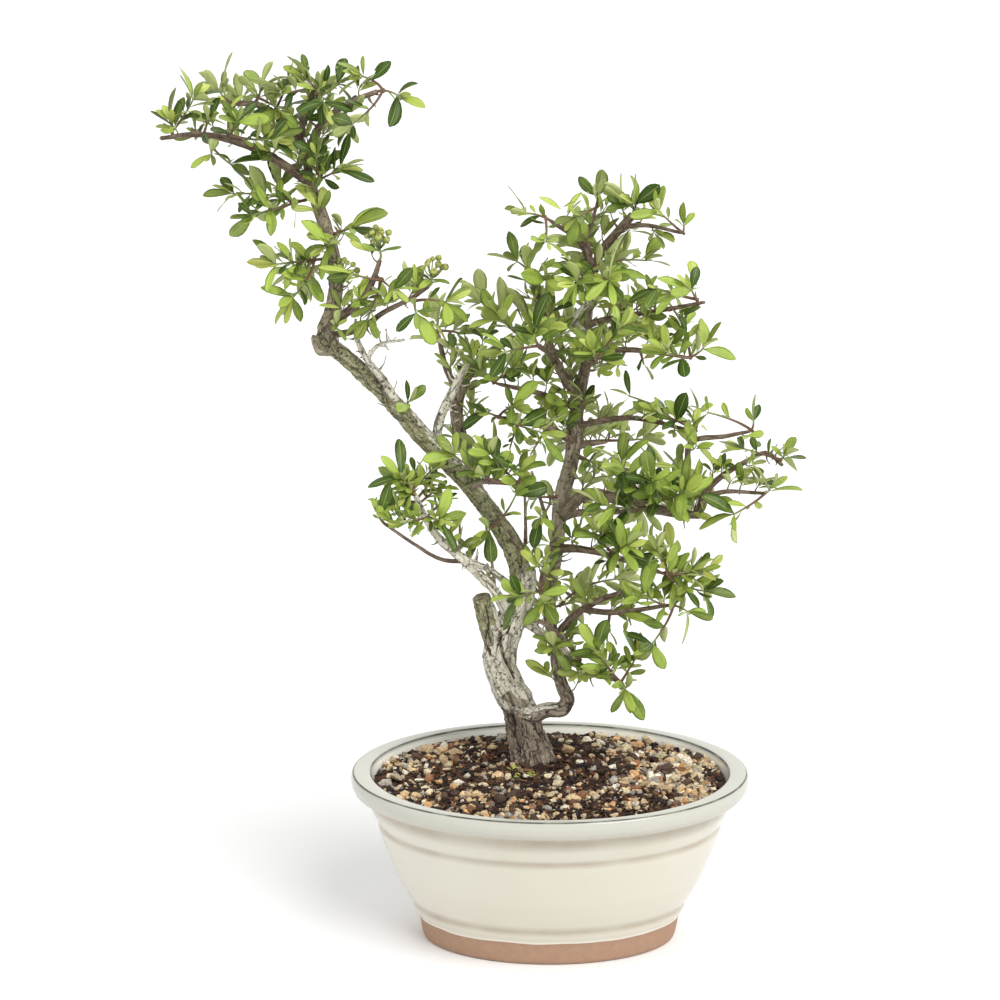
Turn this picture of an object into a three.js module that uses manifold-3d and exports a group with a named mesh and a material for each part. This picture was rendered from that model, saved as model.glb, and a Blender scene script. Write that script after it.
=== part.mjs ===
// A pyracantha bonsai in an oval glazed pot, in millimetres, +Z up.
// The pot, the soil, the wood, the leafy sprays, the berry clusters and the two drain screens are meshes
// of their own. Places are measured from the middle of the pot's foot, with x to the right and y away
// from the viewer; at the end the whole group is moved so that its origin lies under the middle of its box.
import * as THREE from "three";
import { mergeVertices } from "three/addons/utils/BufferGeometryUtils.js";
import Module from "manifold-3d";

const wasm = await Module();
wasm.setup();

// Driving dimensions of the pot
const POT_HALF_LENGTH = 127;
const POT_HALF_DEPTH = 100;
const POT_HEIGHT = 112;
const POT_SEGMENTS = 30;
const FLOOR_TOP = 14;
const FOOT_RECESS = 5;
const FOOT_RING_WIDTH = 8;
const DRAIN_HOLE_RADIUS = 8;
const DRAIN_HOLE_X = 38;

// Driving dimensions of the drain screens
const SCREEN_SIDE = 30;
const SCREEN_THICKNESS = 1.2;
const SCREEN_SLOTS = 2;
const SCREEN_BAR = 4;

// Driving dimensions of the soil
const SOIL_EDGE_HEIGHT = 105.5;
const SOIL_MOUND = 6;
const SOIL_LUMPS = 2.4;
// Where the mound's top is, from the pot's middle
const SOIL_TOP = [-6, 8];
const GRIT_COUNT = 22;

// Driving dimensions of leaves, twigs, thorns and berries
const LEAF_LENGTH = 21;
const LEAF_WIDTH_RATIO = 0.42;
const LEAF_THICKNESS = 0.7;
const LEAF_DROOP = 0.16;
const UPWARD_LEAN = 0.22;
const FOOT_HOLD = 0.75;
// The blade's sections past its foot: how far along, and how wide
const LEAF_SECTIONS = [
  [0.6, 1],
  [0.96, 0.45],
];
const TWIG_RADIUS = 1.15;
const TWIG_LENGTH_PER_STATION = 52;
const STATION_HALF_HEIGHT = 0.5;
const LOWEST_STATION = 0.3;
const LOWEST_STATION_PAST_FORKS = 0.5;
const FORK_SHARE = 0.27;
const FORK_HALF_HEIGHT = 0.85;
const LONGEST_STEP = 26;
// Clearances of a leaf: to other sprays' leaves, to its own spray's, and to bark
const LEAF_CLEARANCE = 4.4;
const OWN_CLEARANCE = 3.8;
const BAR_CLEARANCE = 1.5;
// Ways of growing that a leaf tries in turn: more tilt and more swing in degrees, and its size
const GROWING_WAYS = [
  [0, 0, 1],
  [8, 16, 1],
  [-4, -16, 1],
  [10, -28, 0.9],
  [4, 28, 0.85],
  [14, 8, 0.8],
];
const SIDE_LEAF_TILT = 50;
const TILT_PER_STATION = 6;
const THORN_LENGTH = 8;
const THORN_RADIUS = 1.2;
const BERRY_RADIUS = 2.5;
const STEM_RADIUS = 0.75;
const STALK_RADIUS = 0.9;
const HUB_RADIUS = 2.6;

// Clearances
const GAP = 0.35;
const GOLDEN_ANGLE = THREE.MathUtils.degToRad(137.5);

// Finishes
const FINISHES = {
  glaze: { color: 0xe9e6d6, roughness: 0.2, metalness: 0 },
  soil: { color: 0x4a3a2c, roughness: 0.95, metalness: 0 },
  wood: { color: 0x8a7b6c, roughness: 0.85, metalness: 0 },
  leaf: { color: 0x5c8a3a, roughness: 0.45, metalness: 0 },
  berry: { color: 0xa8b45a, roughness: 0.4, metalness: 0 },
  screen: { color: 0x22252a, roughness: 0.6, metalness: 0 },
};

// The pot's outer profile: how far it stands in from the rim's oval, and its height.
const POT_OUTSIDE = [
  [45, 0],
  [42, 15.8],
  [38, 22.4],
  [35.6, 29],
  [26.5, 46],
  [16, 76.6],
  [17, 78.8],
  [15.2, 80.8],
  [10.8, 93.4],
  [9, 96.8],
  [2.6, 99.4],
  [-1, 106],
  [0, POT_HEIGHT],
];
// The pot's inner profile: how far it stands in along the length and along the depth, and its height.
const POT_INSIDE = [
  [56, 54, FLOOR_TOP],
  [46.5, 44.5, 21],
  [35, 34, 45],
  [23, 21.5, 80],
  [12, 6.5, POT_HEIGHT - 0.8],
  [11.5, 6, POT_HEIGHT + 1],
];

// Limbs of the tree: each is a list of [x, y, z, radius] along its middle line, and starts inside the limb
// that carries it.
const LIMBS = {
  trunk: [
    [-9, 18, 87, 8],
    [-9, 18, 98, 13.5],
    [-11, 18, 111, 14.4],
    [-12.5, 18, 119, 12.4],
    [-14.5, 17, 128, 11.4],
    [-17, 15, 141, 11.2],
    [-29, 9, 169, 10],
    [-33, 6, 182, 9.8],
    [-31, 3, 197, 9.8],
    [-24, 2, 212, 9],
    [-17, 0, 230, 7.7],
    [-17, -1, 244, 7.4],
  ],
  cut_stub: [
    [-30, 4, 187, 8],
    [-36, 1, 203, 7.6],
    [-41, -2, 217, 6.2],
    [-44, -4, 228, 5.2],
  ],
  leaning_limb: [
    [-17, 0, 230, 7.2],
    [-23, -2, 258, 6.8],
    [-33, -4, 275, 6.2],
    [-58, -8, 308, 6.2],
    [-81, -10, 333, 6.2],
    [-105, -13, 361, 5.8],
    [-127, -15, 383, 5.2],
    [-139, -16, 392, 5.4],
  ],
  upper_limb: [
    [-134, -16, 387, 5.2],
    [-139, -16, 399, 5],
    [-135, -15, 410, 4.4],
    [-132, -13, 430, 4.4],
    [-135, -9, 450, 4.2],
    [-143, -5, 474, 3.9],
    [-150, 0, 492, 3.4],
  ],
  crown_left: [
    [-149, 0, 488, 3],
    [-160, -6, 497, 2.9],
    [-185, -17, 512, 2.5],
    [-213, -28, 519, 1.8],
    [-234, -32, 517, 1.5],
  ],
  crown_top: [
    [-149, 1, 489, 3],
    [-150, 5, 503, 2.8],
    [-162, 12, 522, 2.4],
    [-183, 18, 534, 2],
    [-194, 20, 534, 1.6],
  ],
  crown_right: [
    [-150, 5, 502, 2.4],
    [-143, 4, 520, 2.1],
    [-121, -4, 537, 1.8],
    [-106, -8, 543, 1.5],
  ],
  crown_back: [
    [-149, 1, 490, 2.6],
    [-148, 16, 506, 2.2],
    [-145, 28, 514, 1.9],
    [-143, 38, 523, 1.5],
  ],
  crown_spire: [
    [-154, 8, 511, 2],
    [-151, 6, 528, 1.7],
    [-145, 2, 543, 1.2],
  ],
  berry_limb: [
    [-137, -16, 400, 3.4],
    [-129, -22, 408, 2.9],
    [-112, -32, 425, 2.3],
    [-107, -34, 436, 1.9],
    [-104, -35, 445, 1.5],
  ],
  berry_arm: [
    [-137, -16, 396, 2.4],
    [-120, -14, 399, 2],
    [-102, -25, 412, 1.7],
    [-83, -33, 423, 1.4],
    [-75, -35, 429, 1.3],
  ],
  snag: [
    [-94, -12, 349, 3],
    [-102, -20, 367, 2.3],
    [-116, -22, 387, 1.9],
    [-120, -20, 397, 1.7],
    [-120, -18, 407, 1.1],
  ],
  snag_fork: [
    [-113, -22, 383, 1.7],
    [-107, -26, 391, 1.3],
    [-90, -32, 396, 0.8],
  ],
  bleached_limb: [
    [-72, -9, 324, 3.4],
    [-69, -14, 343, 2.9],
    [-58, -14, 367, 2.4],
    [-52, -8, 377, 1.7],
  ],
  grey_limb: [
    [-44, -6, 292, 3.6],
    [-51, 4, 313, 3.8],
    [-59, 12, 345, 4],
    [-57, 13, 357, 3.8],
    [-44, 14, 376, 2.8],
    [-23, 8, 391, 1.8],
  ],
  grey_fork: [
    [-57, 13, 355, 2.6],
    [-65, 22, 367, 2.1],
    [-71, 36, 388, 1.4],
  ],
  low_left_limb: [
    [-26, 2, 212, 3.8],
    [-34, -6, 230, 3.2],
    [-54, -18, 254, 2.7],
    [-70, -26, 271, 2.4],
    [-80, -30, 289, 1.9],
    [-84, -34, 300, 1.5],
  ],
  low_left_twin: [
    [-20, 1, 228, 2.6],
    [-37, -8, 245, 2.1],
    [-57, -19, 257, 1.9],
  ],
  low_left_twig: [
    [-54, -18, 254, 1.6],
    [-67, -26, 257, 1.3],
    [-85, -37, 270, 1.1],
    [-102, -44, 284, 0.9],
  ],
  elbow_limb: [
    [-20, 12, 149, 7],
    [-11, 6, 147, 5.6],
    [-1, 2, 151, 4.6],
    [8, 0, 152, 4.6],
    [11.5, 1, 157.5, 4.2],
    [8, 3, 166, 3.7],
    [3, 9, 189, 3.5],
    [-1, 15, 224, 4.2],
    [4, 19, 255, 4.6],
    [7, 20, 285, 5],
    [13, 17, 311, 4.6],
    [16, 13, 344, 4],
    [22, 9, 377, 3.3],
    [23, 8, 414, 2.8],
    [25, 5, 440, 2.4],
  ],
  graft_limb: [
    [-26, 2, 216, 4.4],
    [-15, 0, 210, 3.6],
    [-7, -2, 204, 3],
    [4, 1, 197, 2.7],
    [12, 1, 187, 2.3],
  ],
  right_low_limb: [
    [4, 8, 186, 3],
    [11, 0, 185, 2.8],
    [26, -14, 181, 2.3],
    [42, -26, 179, 1.5],
  ],
  right_low_rise: [
    [3, 10, 197, 2.6],
    [14, 2, 212, 2.4],
    [33, -14, 229, 1.9],
    [44, -22, 235, 1.5],
  ],
  shelf_limb: [
    [7, 20, 275, 4.4],
    [23, 4, 292, 4],
    [49, -11, 290, 3.5],
    [75, -20, 286, 3.1],
    [92, -24, 285, 2.4],
  ],
  shelf_rise: [
    [79, -21, 286, 2.6],
    [83, -28, 319, 2],
    [84, -30, 331, 1.8],
    [106, -34, 337, 1.4],
    [119, -36, 340, 1],
  ],
  shelf_arm: [
    [89, -23, 285, 2.2],
    [96, -33, 304, 2],
    [119, -40, 323, 1.6],
    [130, -41, 328, 1.4],
    [140, -40, 320, 1.1],
  ],
  shelf_arm_low: [
    [95, -31, 299, 1.6],
    [105, -38, 303, 1.4],
    [128, -42, 303, 1],
  ],
  apex_limb: [
    [24, 6, 432, 2.7],
    [31, 4, 446, 2.8],
    [44, 1, 462, 2.7],
    [49, 0, 468, 2.6],
  ],
  apex_east_limb: [
    [44, 1, 461, 1.7],
    [57, -3, 462, 1.4],
    [78, -7, 458, 1],
  ],
  apex_west_limb: [
    [24, 6, 434, 2],
    [18, 2, 450, 1.8],
    [-1, -6, 465, 1.2],
  ],
  apex_spire: [
    [24, 5, 437, 2],
    [22, 2, 455, 1.6],
    [26, 0, 470, 1.1],
  ],
  stub_limb: [
    [16, 12, 353, 3.4],
    [0, 3, 383, 2.8],
    [-4, 2, 400, 2.6],
    [-12, 6, 428, 2.1],
  ],
  front_limb: [
    [2, 3, 379, 2.6],
    [-1, -14, 386, 2.3],
    [-5, -32, 390, 1.9],
    [-8, -48, 394, 1.5],
  ],
  dark_limb: [
    [16, 13, 345, 2.2],
    [-8, -4, 358, 1.7],
    [-32, -12, 365, 1.2],
  ],
  east_limb: [
    [23, 8, 399, 2.4],
    [36, 0, 404, 2],
    [67, -18, 412, 1.5],
    [92, -26, 418, 1],
  ],
  east_low_limb: [
    [22, 9, 382, 2.4],
    [51, -10, 386, 1.7],
    [81, -24, 384, 1],
  ],
  white_limb: [
    [23, 8, 392, 2.6],
    [14, -6, 403, 2.2],
    [30, -20, 425, 1.3],
  ],
  front_high_limb: [
    [21, 10, 367, 2.4],
    [22, -8, 375, 2],
    [26, -40, 384, 1.3],
  ],
  back_high_limb: [
    [22, 9, 384, 2.8],
    [26, 26, 385, 2.3],
    [36, 56, 387, 1.4],
  ],
  waist_west_limb: [
    [14, 15, 324, 2.8],
    [-7, -16, 340, 2],
    [-30, -28, 347, 1.3],
  ],
  waist_east_limb: [
    [15, 14, 334, 2.2],
    [51, -2, 342, 1.7],
    [86, -12, 336, 1.1],
  ],
  back_mid_limb: [
    [14, 16, 318, 3.2],
    [19, 34, 317, 2.6],
    [37, 66, 313, 1.5],
  ],
  back_low_limb: [
    [6, 20, 273, 3.4],
    [16, 36, 272, 2.8],
    [44, 58, 268, 1.9],
    [57, 60, 268, 1.4],
  ],
  cross_limb: [
    [-50, -7, 298, 2.4],
    [-46, -20, 305, 2.1],
    [-24, -36, 308, 1.5],
  ],
  skirt_limb: [
    [3, 18, 253, 3.2],
    [14, 4, 257, 2.7],
    [39, -22, 258, 2.1],
    [67, -34, 251, 1.4],
  ],
  skirt_limb_low: [
    [22, -5, 219, 2],
    [38, -18, 221, 1.9],
    [72, -34, 230, 1.2],
  ],
  front_low_limb: [
    [0, 16, 236, 3],
    [-3, 0, 245, 2.5],
    [-7, -30, 240, 1.7],
  ],
  curved_twig: [
    [-24, 2, 208, 1.8],
    [-7, -10, 213, 1.5],
    [4, -16, 207, 1.4],
    [19, -16, 189, 1.2],
  ],
};

// Roots that run from the buried foot of the trunk into the soil.
const ROOTS = {
  root_left: [
    [-14, 18, 106, 7],
    [-36, 22, 94, 4],
    [-62, 12, 64, 1.5],
  ],
  root_right: [
    [-4, 18, 104, 7],
    [22, 22, 92, 4],
    [54, 8, 62, 1.5],
  ],
  root_front: [
    [-8, 12, 104, 7],
    [-16, -14, 90, 4],
    [-20, -38, 60, 1.5],
  ],
  root_deep: [
    [-9, 20, 96, 8],
    [-4, 32, 74, 4.4],
    [8, 42, 48, 1.8],
  ],
};

// Limbs that carry thorns, and how many.
const THORNY_LIMBS = {
  leaning_limb: 5,
  upper_limb: 4,
  snag: 3,
  bleached_limb: 2,
  grey_limb: 2,
  elbow_limb: 3,
  shelf_limb: 2,
  low_left_limb: 2,
};

// Leafy sprays: the limb that carries each, and where its twigs end. A spray springs from the point of its
// limb nearest to its first twig's end, and its other twigs fork from the first.
const SPRAYS = {
  crown_west: { limb: "crown_left", ends: [[-227, -34, 528], [-214, -28, 540]] },
  crown_west_low: { limb: "crown_left", ends: [[-203, -38, 508], [-194, -16, 500]] },
  crown_west_high: { limb: "crown_top", ends: [[-204, 17, 542], [-195, 34, 529]] },
  crown_mid: { limb: "crown_left", ends: [[-188, -32, 527], [-168, -28, 516]] },
  crown_mid_high: { limb: "crown_top", ends: [[-178, 24, 545], [-166, 0, 532]] },
  crown_spire: {
    limb: "crown_spire",
    ends: [[-150, 2, 550], [-163, -10, 542], [-130, 8, 547], [-138, -16, 537]],
  },
  crown_back: { limb: "crown_back", ends: [[-144, 42, 537], [-160, 46, 520], [-130, 50, 523]] },
  crown_east: { limb: "crown_right", ends: [[-93, -12, 541], [-115, -4, 552], [-121, -18, 524]] },
  crown_under: { limb: "upper_limb", ends: [[-128, -10, 497], [-142, -20, 507]] },
  west_bough: { limb: "upper_limb", ends: [[-182, -22, 470], [-194, -10, 482], [-168, 12, 484]] },
  trio_bough: { limb: "upper_limb", ends: [[-122, -14, 462], [-136, -24, 452]] },
  west_low_bough: { limb: "upper_limb", ends: [[-168, -26, 441], [-158, -24, 420], [-157, 14, 430]] },
  berry_bough: { limb: "berry_limb", ends: [[-95, -46, 428], [-120, -46, 438], [-112, -34, 408]] },
  berry_arm_bough: { limb: "berry_arm", ends: [[-82, -51, 415], [-64, -46, 421]] },
  limb_trio: { limb: "leaning_limb", ends: [[-88, -24, 356]] },
  grey_bough: { limb: "grey_fork", ends: [[-71, 42, 398], [-54, 28, 390]] },
  grey_bough_high: { limb: "grey_limb", ends: [[-14, 8, 402], [-44, 18, 412], [-32, -10, 406]] },
  rosette_bough: { limb: "front_limb", ends: [[-12, -60, 404], [-29, -54, 392]] },
  shade_bough: { limb: "dark_limb", ends: [[-45, -14, 374], [-24, -28, 378]] },
  stub_bough: { limb: "stub_limb", ends: [[-22, 14, 438], [-4, -14, 430]] },
  apex_west: { limb: "apex_west_limb", ends: [[-17, -6, 470], [-4, -22, 454]] },
  apex_spire: { limb: "apex_spire", ends: [[28, 2, 480], [14, -14, 468]] },
  apex_head: { limb: "apex_limb", ends: [[50, -6, 476], [44, 16, 474]] },
  apex_east: { limb: "apex_east_limb", ends: [[80, -8, 463], [64, -12, 472]] },
  apex_back: { limb: "elbow_limb", ends: [[36, 42, 434], [14, 36, 450]] },
  apex_front: { limb: "elbow_limb", ends: [[14, -34, 430], [34, -30, 432], [58, 0, 440]] },
  east_twig_bough: { limb: "east_limb", ends: [[83, -34, 427], [62, -36, 428]] },
  east_low_bough: { limb: "east_low_limb", ends: [[92, -26, 390], [68, -42, 390], [80, -6, 400]] },
  east_back: { limb: "back_high_limb", ends: [[62, 50, 409], [52, 66, 389]] },
  centre_front: { limb: "front_high_limb", ends: [[24, -52, 392], [40, -46, 406]] },
  centre_back: { limb: "back_high_limb", ends: [[2, 56, 396], [22, 70, 378]] },
  waist_west: {
    limb: "waist_west_limb",
    ends: [[-40, -24, 350], [-24, -38, 356], [-6, -50, 342]],
  },
  waist_east: { limb: "waist_east_limb", ends: [[90, -14, 348], [64, -22, 350], [48, -2, 356]] },
  waist_back: { limb: "back_mid_limb", ends: [[40, 76, 322], [62, 66, 315], [8, 68, 312]] },
  shelf_rise_bough: { limb: "shelf_rise", ends: [[122, -38, 348], [94, -36, 352]] },
  shelf_arm_bough: { limb: "shelf_arm", ends: [[140, -45, 326], [115, -48, 332]] },
  shelf_arm_low_bough: { limb: "shelf_arm_low", ends: [[132, -46, 306], [110, -48, 291]] },
  shelf_front: {
    limb: "shelf_limb",
    ends: [[60, -46, 312], [42, -44, 323], [29, -40, 296], [80, -50, 306]],
  },
  shelf_back: { limb: "back_low_limb", ends: [[72, 62, 276], [62, 78, 264], [84, 44, 286]] },
  west_shelf: { limb: "cross_limb", ends: [[-20, -46, 318], [-38, -42, 328], [-60, -38, 326]] },
  west_pad: { limb: "low_left_limb", ends: [[-93, -40, 313], [-74, -26, 314]] },
  west_pad_low: { limb: "low_left_limb", ends: [[-68, -45, 287], [-92, -54, 287]] },
  west_twig_bough: { limb: "low_left_twig", ends: [[-106, -48, 291]] },
  skirt_front: { limb: "skirt_limb", ends: [[30, -36, 276], [46, -52, 273]] },
  skirt_east: { limb: "skirt_limb", ends: [[86, -40, 254], [64, -48, 268], [95, -30, 238]] },
  skirt_low: { limb: "skirt_limb_low", ends: [[84, -42, 228], [56, -46, 240], [62, -38, 206]] },
  lap_bough: { limb: "front_low_limb", ends: [[-5, -46, 234], [-20, -38, 237]] },
  lap_leaves: { limb: "graft_limb", ends: [[2, -18, 198]] },
  hem_bough: { limb: "right_low_limb", ends: [[46, -36, 176], [54, -28, 196], [28, -36, 202]] },
  hem_back: { limb: "elbow_limb", ends: [[24, 48, 212], [48, 54, 224]] },
  neck_west: { limb: "leaning_limb", ends: [[-39, -15, 273], [-22, -14, 296]] },
  neck_mid: { limb: "elbow_limb", ends: [[-14, 4, 290], [-7, -10, 280]] },
};

// Berry clusters: the limb that carries each, the middle of its dome, and its number of berries.
const BERRY_CLUSTERS = {
  berries_high: { limb: "berry_limb", middle: [-104, -38, 459], count: 8 },
  berries_arm: { limb: "berry_arm", middle: [-71, -40, 441], count: 6 },
  berries_limb: { limb: "upper_limb", middle: [-124, -28, 437], count: 7 },
};
const CLUSTER_RADIUS = 7;

const vec = (p) => new THREE.Vector3(p[0], p[1], p[2]);
const placeIn = (geometry, k) =>
  new THREE.Vector3().fromBufferAttribute(geometry.getAttribute("position"), k);

// A repeatable stream of numbers from 0 to 1.
function randomStream(seed) {
  let state = seed >>> 0;
  return () => {
    state = (state + 0x6d2b79f5) >>> 0;
    let mixed = Math.imul(state ^ (state >>> 15), state | 1);
    mixed ^= mixed + Math.imul(mixed ^ (mixed >>> 7), mixed | 61);
    return ((mixed ^ (mixed >>> 14)) >>> 0) / 4294967296;
  };
}

// A stream whose seed comes from a name, so that a node keeps its draw when others change.
function streamNamed(name) {
  let seed = 7;
  for (const letter of name) seed = (Math.imul(seed, 31) + letter.charCodeAt(0)) >>> 0;
  return randomStream(seed);
}

// A three.js geometry as a solid: only places are kept, and equal corners are merged.
function solidFrom(geometry) {
  const bare = geometry.clone();
  bare.deleteAttribute("normal");
  bare.deleteAttribute("uv");
  const merged = mergeVertices(bare, 1e-4);
  const mesh = new wasm.Mesh({
    numProp: 3,
    vertProperties: new Float32Array(merged.getAttribute("position").array),
    triVerts: new Uint32Array(merged.index.array),
  });
  return new wasm.Manifold(mesh);
}

// A solid as a three.js geometry.
function geometryFrom(solid) {
  const mesh = solid.getMesh();
  const geometry = new THREE.BufferGeometry();
  const places = new Float32Array(mesh.vertProperties);
  geometry.setAttribute("position", new THREE.BufferAttribute(places, 3));
  return geometry.setIndex(new THREE.BufferAttribute(new Uint32Array(mesh.triVerts), 1));
}

// A skin over rings of equal counts of corners, each counterclockwise seen from the end, with flat ends.
function loft(rings) {
  const count = rings[0].length;
  const places = rings.flat().flatMap((p) => [p.x, p.y, p.z]);
  const faces = [];
  for (let r = 0; r + 1 < rings.length; r++) {
    for (let i = 0; i < count; i++) {
      const j = (i + 1) % count;
      const a = r * count + i;
      const b = r * count + j;
      faces.push(a, b, b + count, a, b + count, a + count);
    }
  }
  const last = (rings.length - 1) * count;
  for (let i = 1; i + 1 < count; i++) {
    faces.push(0, i + 1, i);
    faces.push(last, last + i, last + i + 1);
  }
  const geometry = new THREE.BufferGeometry();
  geometry.setAttribute("position", new THREE.Float32BufferAttribute(places, 3));
  geometry.setIndex(faces);
  return geometry;
}

// The direction of travel at each point of a path.
function headings(points) {
  return points.map((p, i) => {
    const before = points[Math.max(i - 1, 0)];
    const after = points[Math.min(i + 1, points.length - 1)];
    return after.clone().sub(before).normalize();
  });
}

// A round bar along a path of [x, y, z, radius], with its ring turned as little as it can be.
function bar(path, sides, extra = 0) {
  const points = path.map(vec);
  const ways = headings(points);
  const start = Math.abs(ways[0].z) < 0.9 ? new THREE.Vector3(0, 0, 1) : new THREE.Vector3(1, 0, 0);
  const across = new THREE.Vector3();
  const rings = points.map((p, i) => {
    const way = ways[i];
    if (i === 0) across.copy(start);
    across.addScaledVector(way, -across.dot(way)).normalize();
    const up = way.clone().cross(across);
    const radius = path[i][3] + extra;
    return Array.from({ length: sides }, (_, k) => {
      const turn = (2 * Math.PI * k) / sides;
      return p
        .clone()
        .addScaledVector(across, radius * Math.cos(turn))
        .addScaledVector(up, radius * Math.sin(turn));
    });
  });
  return loft(rings);
}

function sidesFor(path) {
  const widest = Math.max(...path.map((p) => p[3]));
  if (widest > 8) return 9;
  if (widest > 4.5) return 6;
  return widest > 2.2 ? 4 : 3;
}

const unionOf = (solids) => wasm.Manifold.union(solids);

// Pot
function oval(insetLength, insetDepth, z) {
  return Array.from({ length: POT_SEGMENTS }, (_, k) => {
    const turn = (2 * Math.PI * k) / POT_SEGMENTS;
    const x = (POT_HALF_LENGTH - insetLength) * Math.cos(turn);
    return new THREE.Vector3(x, (POT_HALF_DEPTH - insetDepth) * Math.sin(turn), z);
  });
}

function makePot() {
  const outside = solidFrom(loft(POT_OUTSIDE.map(([inset, z]) => oval(inset, inset, z))));
  const inside = POT_INSIDE.map(([length, depth, z]) => oval(length, depth, z));
  const footInset = POT_OUTSIDE[0][0] + FOOT_RING_WIDTH;
  const recess = [-1, FOOT_RECESS].map((z) => oval(footInset, footInset, z));
  let pot = outside.subtract(solidFrom(loft(inside))).subtract(solidFrom(loft(recess)));
  for (const x of [-DRAIN_HOLE_X, DRAIN_HOLE_X]) {
    const drill = new THREE.CylinderGeometry(DRAIN_HOLE_RADIUS, DRAIN_HOLE_RADIUS, 2 * FLOOR_TOP, 12);
    drill.rotateX(Math.PI / 2).translate(x, 0, FLOOR_TOP / 2);
    pot = pot.subtract(solidFrom(drill));
  }
  return pot;
}

// Drain screens
function makeScreen(x) {
  const plate = new THREE.BoxGeometry(SCREEN_SIDE, SCREEN_SIDE, SCREEN_THICKNESS);
  let screen = solidFrom(plate);
  const pitch = (SCREEN_SIDE - SCREEN_BAR) / SCREEN_SLOTS;
  const opening = pitch - SCREEN_BAR;
  for (let i = 0; i < SCREEN_SLOTS; i++) {
    for (let j = 0; j < SCREEN_SLOTS; j++) {
      const slot = new THREE.BoxGeometry(opening, opening, 3 * SCREEN_THICKNESS);
      const place = (n) => (n - (SCREEN_SLOTS - 1) / 2) * pitch;
      slot.translate(place(i), place(j), 0);
      screen = screen.subtract(solidFrom(slot));
    }
  }
  return screen.translate([x, 0, FLOOR_TOP + GAP + SCREEN_THICKNESS / 2]);
}

// Soil: first how far the pot's inside stands in from the rim at a height, along the length and the depth.
function insideInsets(z) {
  const upper = POT_INSIDE.findIndex((row) => row[2] >= z);
  if (upper <= 0) return POT_INSIDE[0].slice(0, 2);
  const [a, b] = [POT_INSIDE[upper - 1], POT_INSIDE[upper]];
  const share = (z - a[2]) / (b[2] - a[2]);
  return [0, 1].map((k) => THREE.MathUtils.lerp(a[k], b[k], share));
}

// The height of the soil's top: `share` goes from 0 at the mound's top to 1 at the pot's wall.
function soilHeight(share, turn) {
  const mound = SOIL_MOUND * (1 - share * share);
  const lumps = Math.sin(3 * turn + 1) + Math.sin(5 * turn + 7 * share);
  return SOIL_EDGE_HEIGHT + mound + SOIL_LUMPS * share * (1 - share) * lumps;
}

function makeSoilBody() {
  const sideHeights = [FLOOR_TOP + GAP, 21, 45, 80, SOIL_EDGE_HEIGHT];
  const rings = sideHeights.map((z) => {
    const [length, depth] = insideInsets(z);
    return oval(length + GAP + 0.1, depth + GAP + 0.1, z);
  });
  const edge = rings[rings.length - 1];
  for (const share of [0.8, 0.5, 0.2]) {
    rings.push(
      edge.map((p, k) => {
        const turn = (2 * Math.PI * k) / POT_SEGMENTS;
        const x = p.x * share + SOIL_TOP[0] * (1 - share);
        const y = p.y * share + SOIL_TOP[1] * (1 - share);
        return new THREE.Vector3(x, y, soilHeight(share, turn));
      }),
    );
  }
  return solidFrom(loft(rings));
}

function makeGrit(draw) {
  return Array.from({ length: GRIT_COUNT }, (_, k) => {
    const turn = k * GOLDEN_ANGLE;
    const share = Math.sqrt(0.12 + 0.72 * ((k + 0.5) / GRIT_COUNT));
    const size = 4 + 3 * draw();
    const stone = new THREE.OctahedronGeometry(size);
    stone.scale(1, 0.7 + 0.3 * draw(), 0.7).rotateZ(6 * draw()).rotateX(0.5 * draw());
    const x = (POT_HALF_LENGTH - 22) * share * Math.cos(turn) + SOIL_TOP[0] * (1 - share);
    const y = (POT_HALF_DEPTH - 20) * share * Math.sin(turn) + SOIL_TOP[1] * (1 - share);
    stone.translate(x, y, soilHeight(share, turn) + 0.25 * size);
    return solidFrom(stone);
  });
}

function makeSoil() {
  const draw = streamNamed("grit");
  const body = unionOf([makeSoilBody(), ...makeGrit(draw)]);
  const room = GAP + 0.15;
  const stub = holeFor(LIMBS.trunk.slice(0, 5), sidesFor(LIMBS.trunk), room);
  const holes = [stub, ...Object.values(ROOTS).map((path) => holeFor(path, sidesFor(path), room))];
  const pockets = [-DRAIN_HOLE_X, DRAIN_HOLE_X].map((x) => {
    const side = SCREEN_SIDE + 2 * GAP;
    const height = SCREEN_THICKNESS + 3 * GAP;
    return new THREE.BoxGeometry(side, side, height).translate(x, 0, FLOOR_TOP + height / 2);
  });
  return body.subtract(unionOf([...holes, ...pockets].map(solidFrom)));
}

// A hole in the soil for a limb or root: its own shape with room round it and past both ends.
function holeFor(path, sides, room) {
  const pastEnd = (end, before) => {
    const place = vec(end).addScaledVector(vec(end).sub(vec(before)).normalize(), room);
    return [place.x, place.y, place.z, end[3]];
  };
  const first = pastEnd(path[0], path[1]);
  const last = pastEnd(path[path.length - 1], path[path.length - 2]);
  return bar([first, ...path.slice(1, -1), last], sides, room);
}

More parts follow.
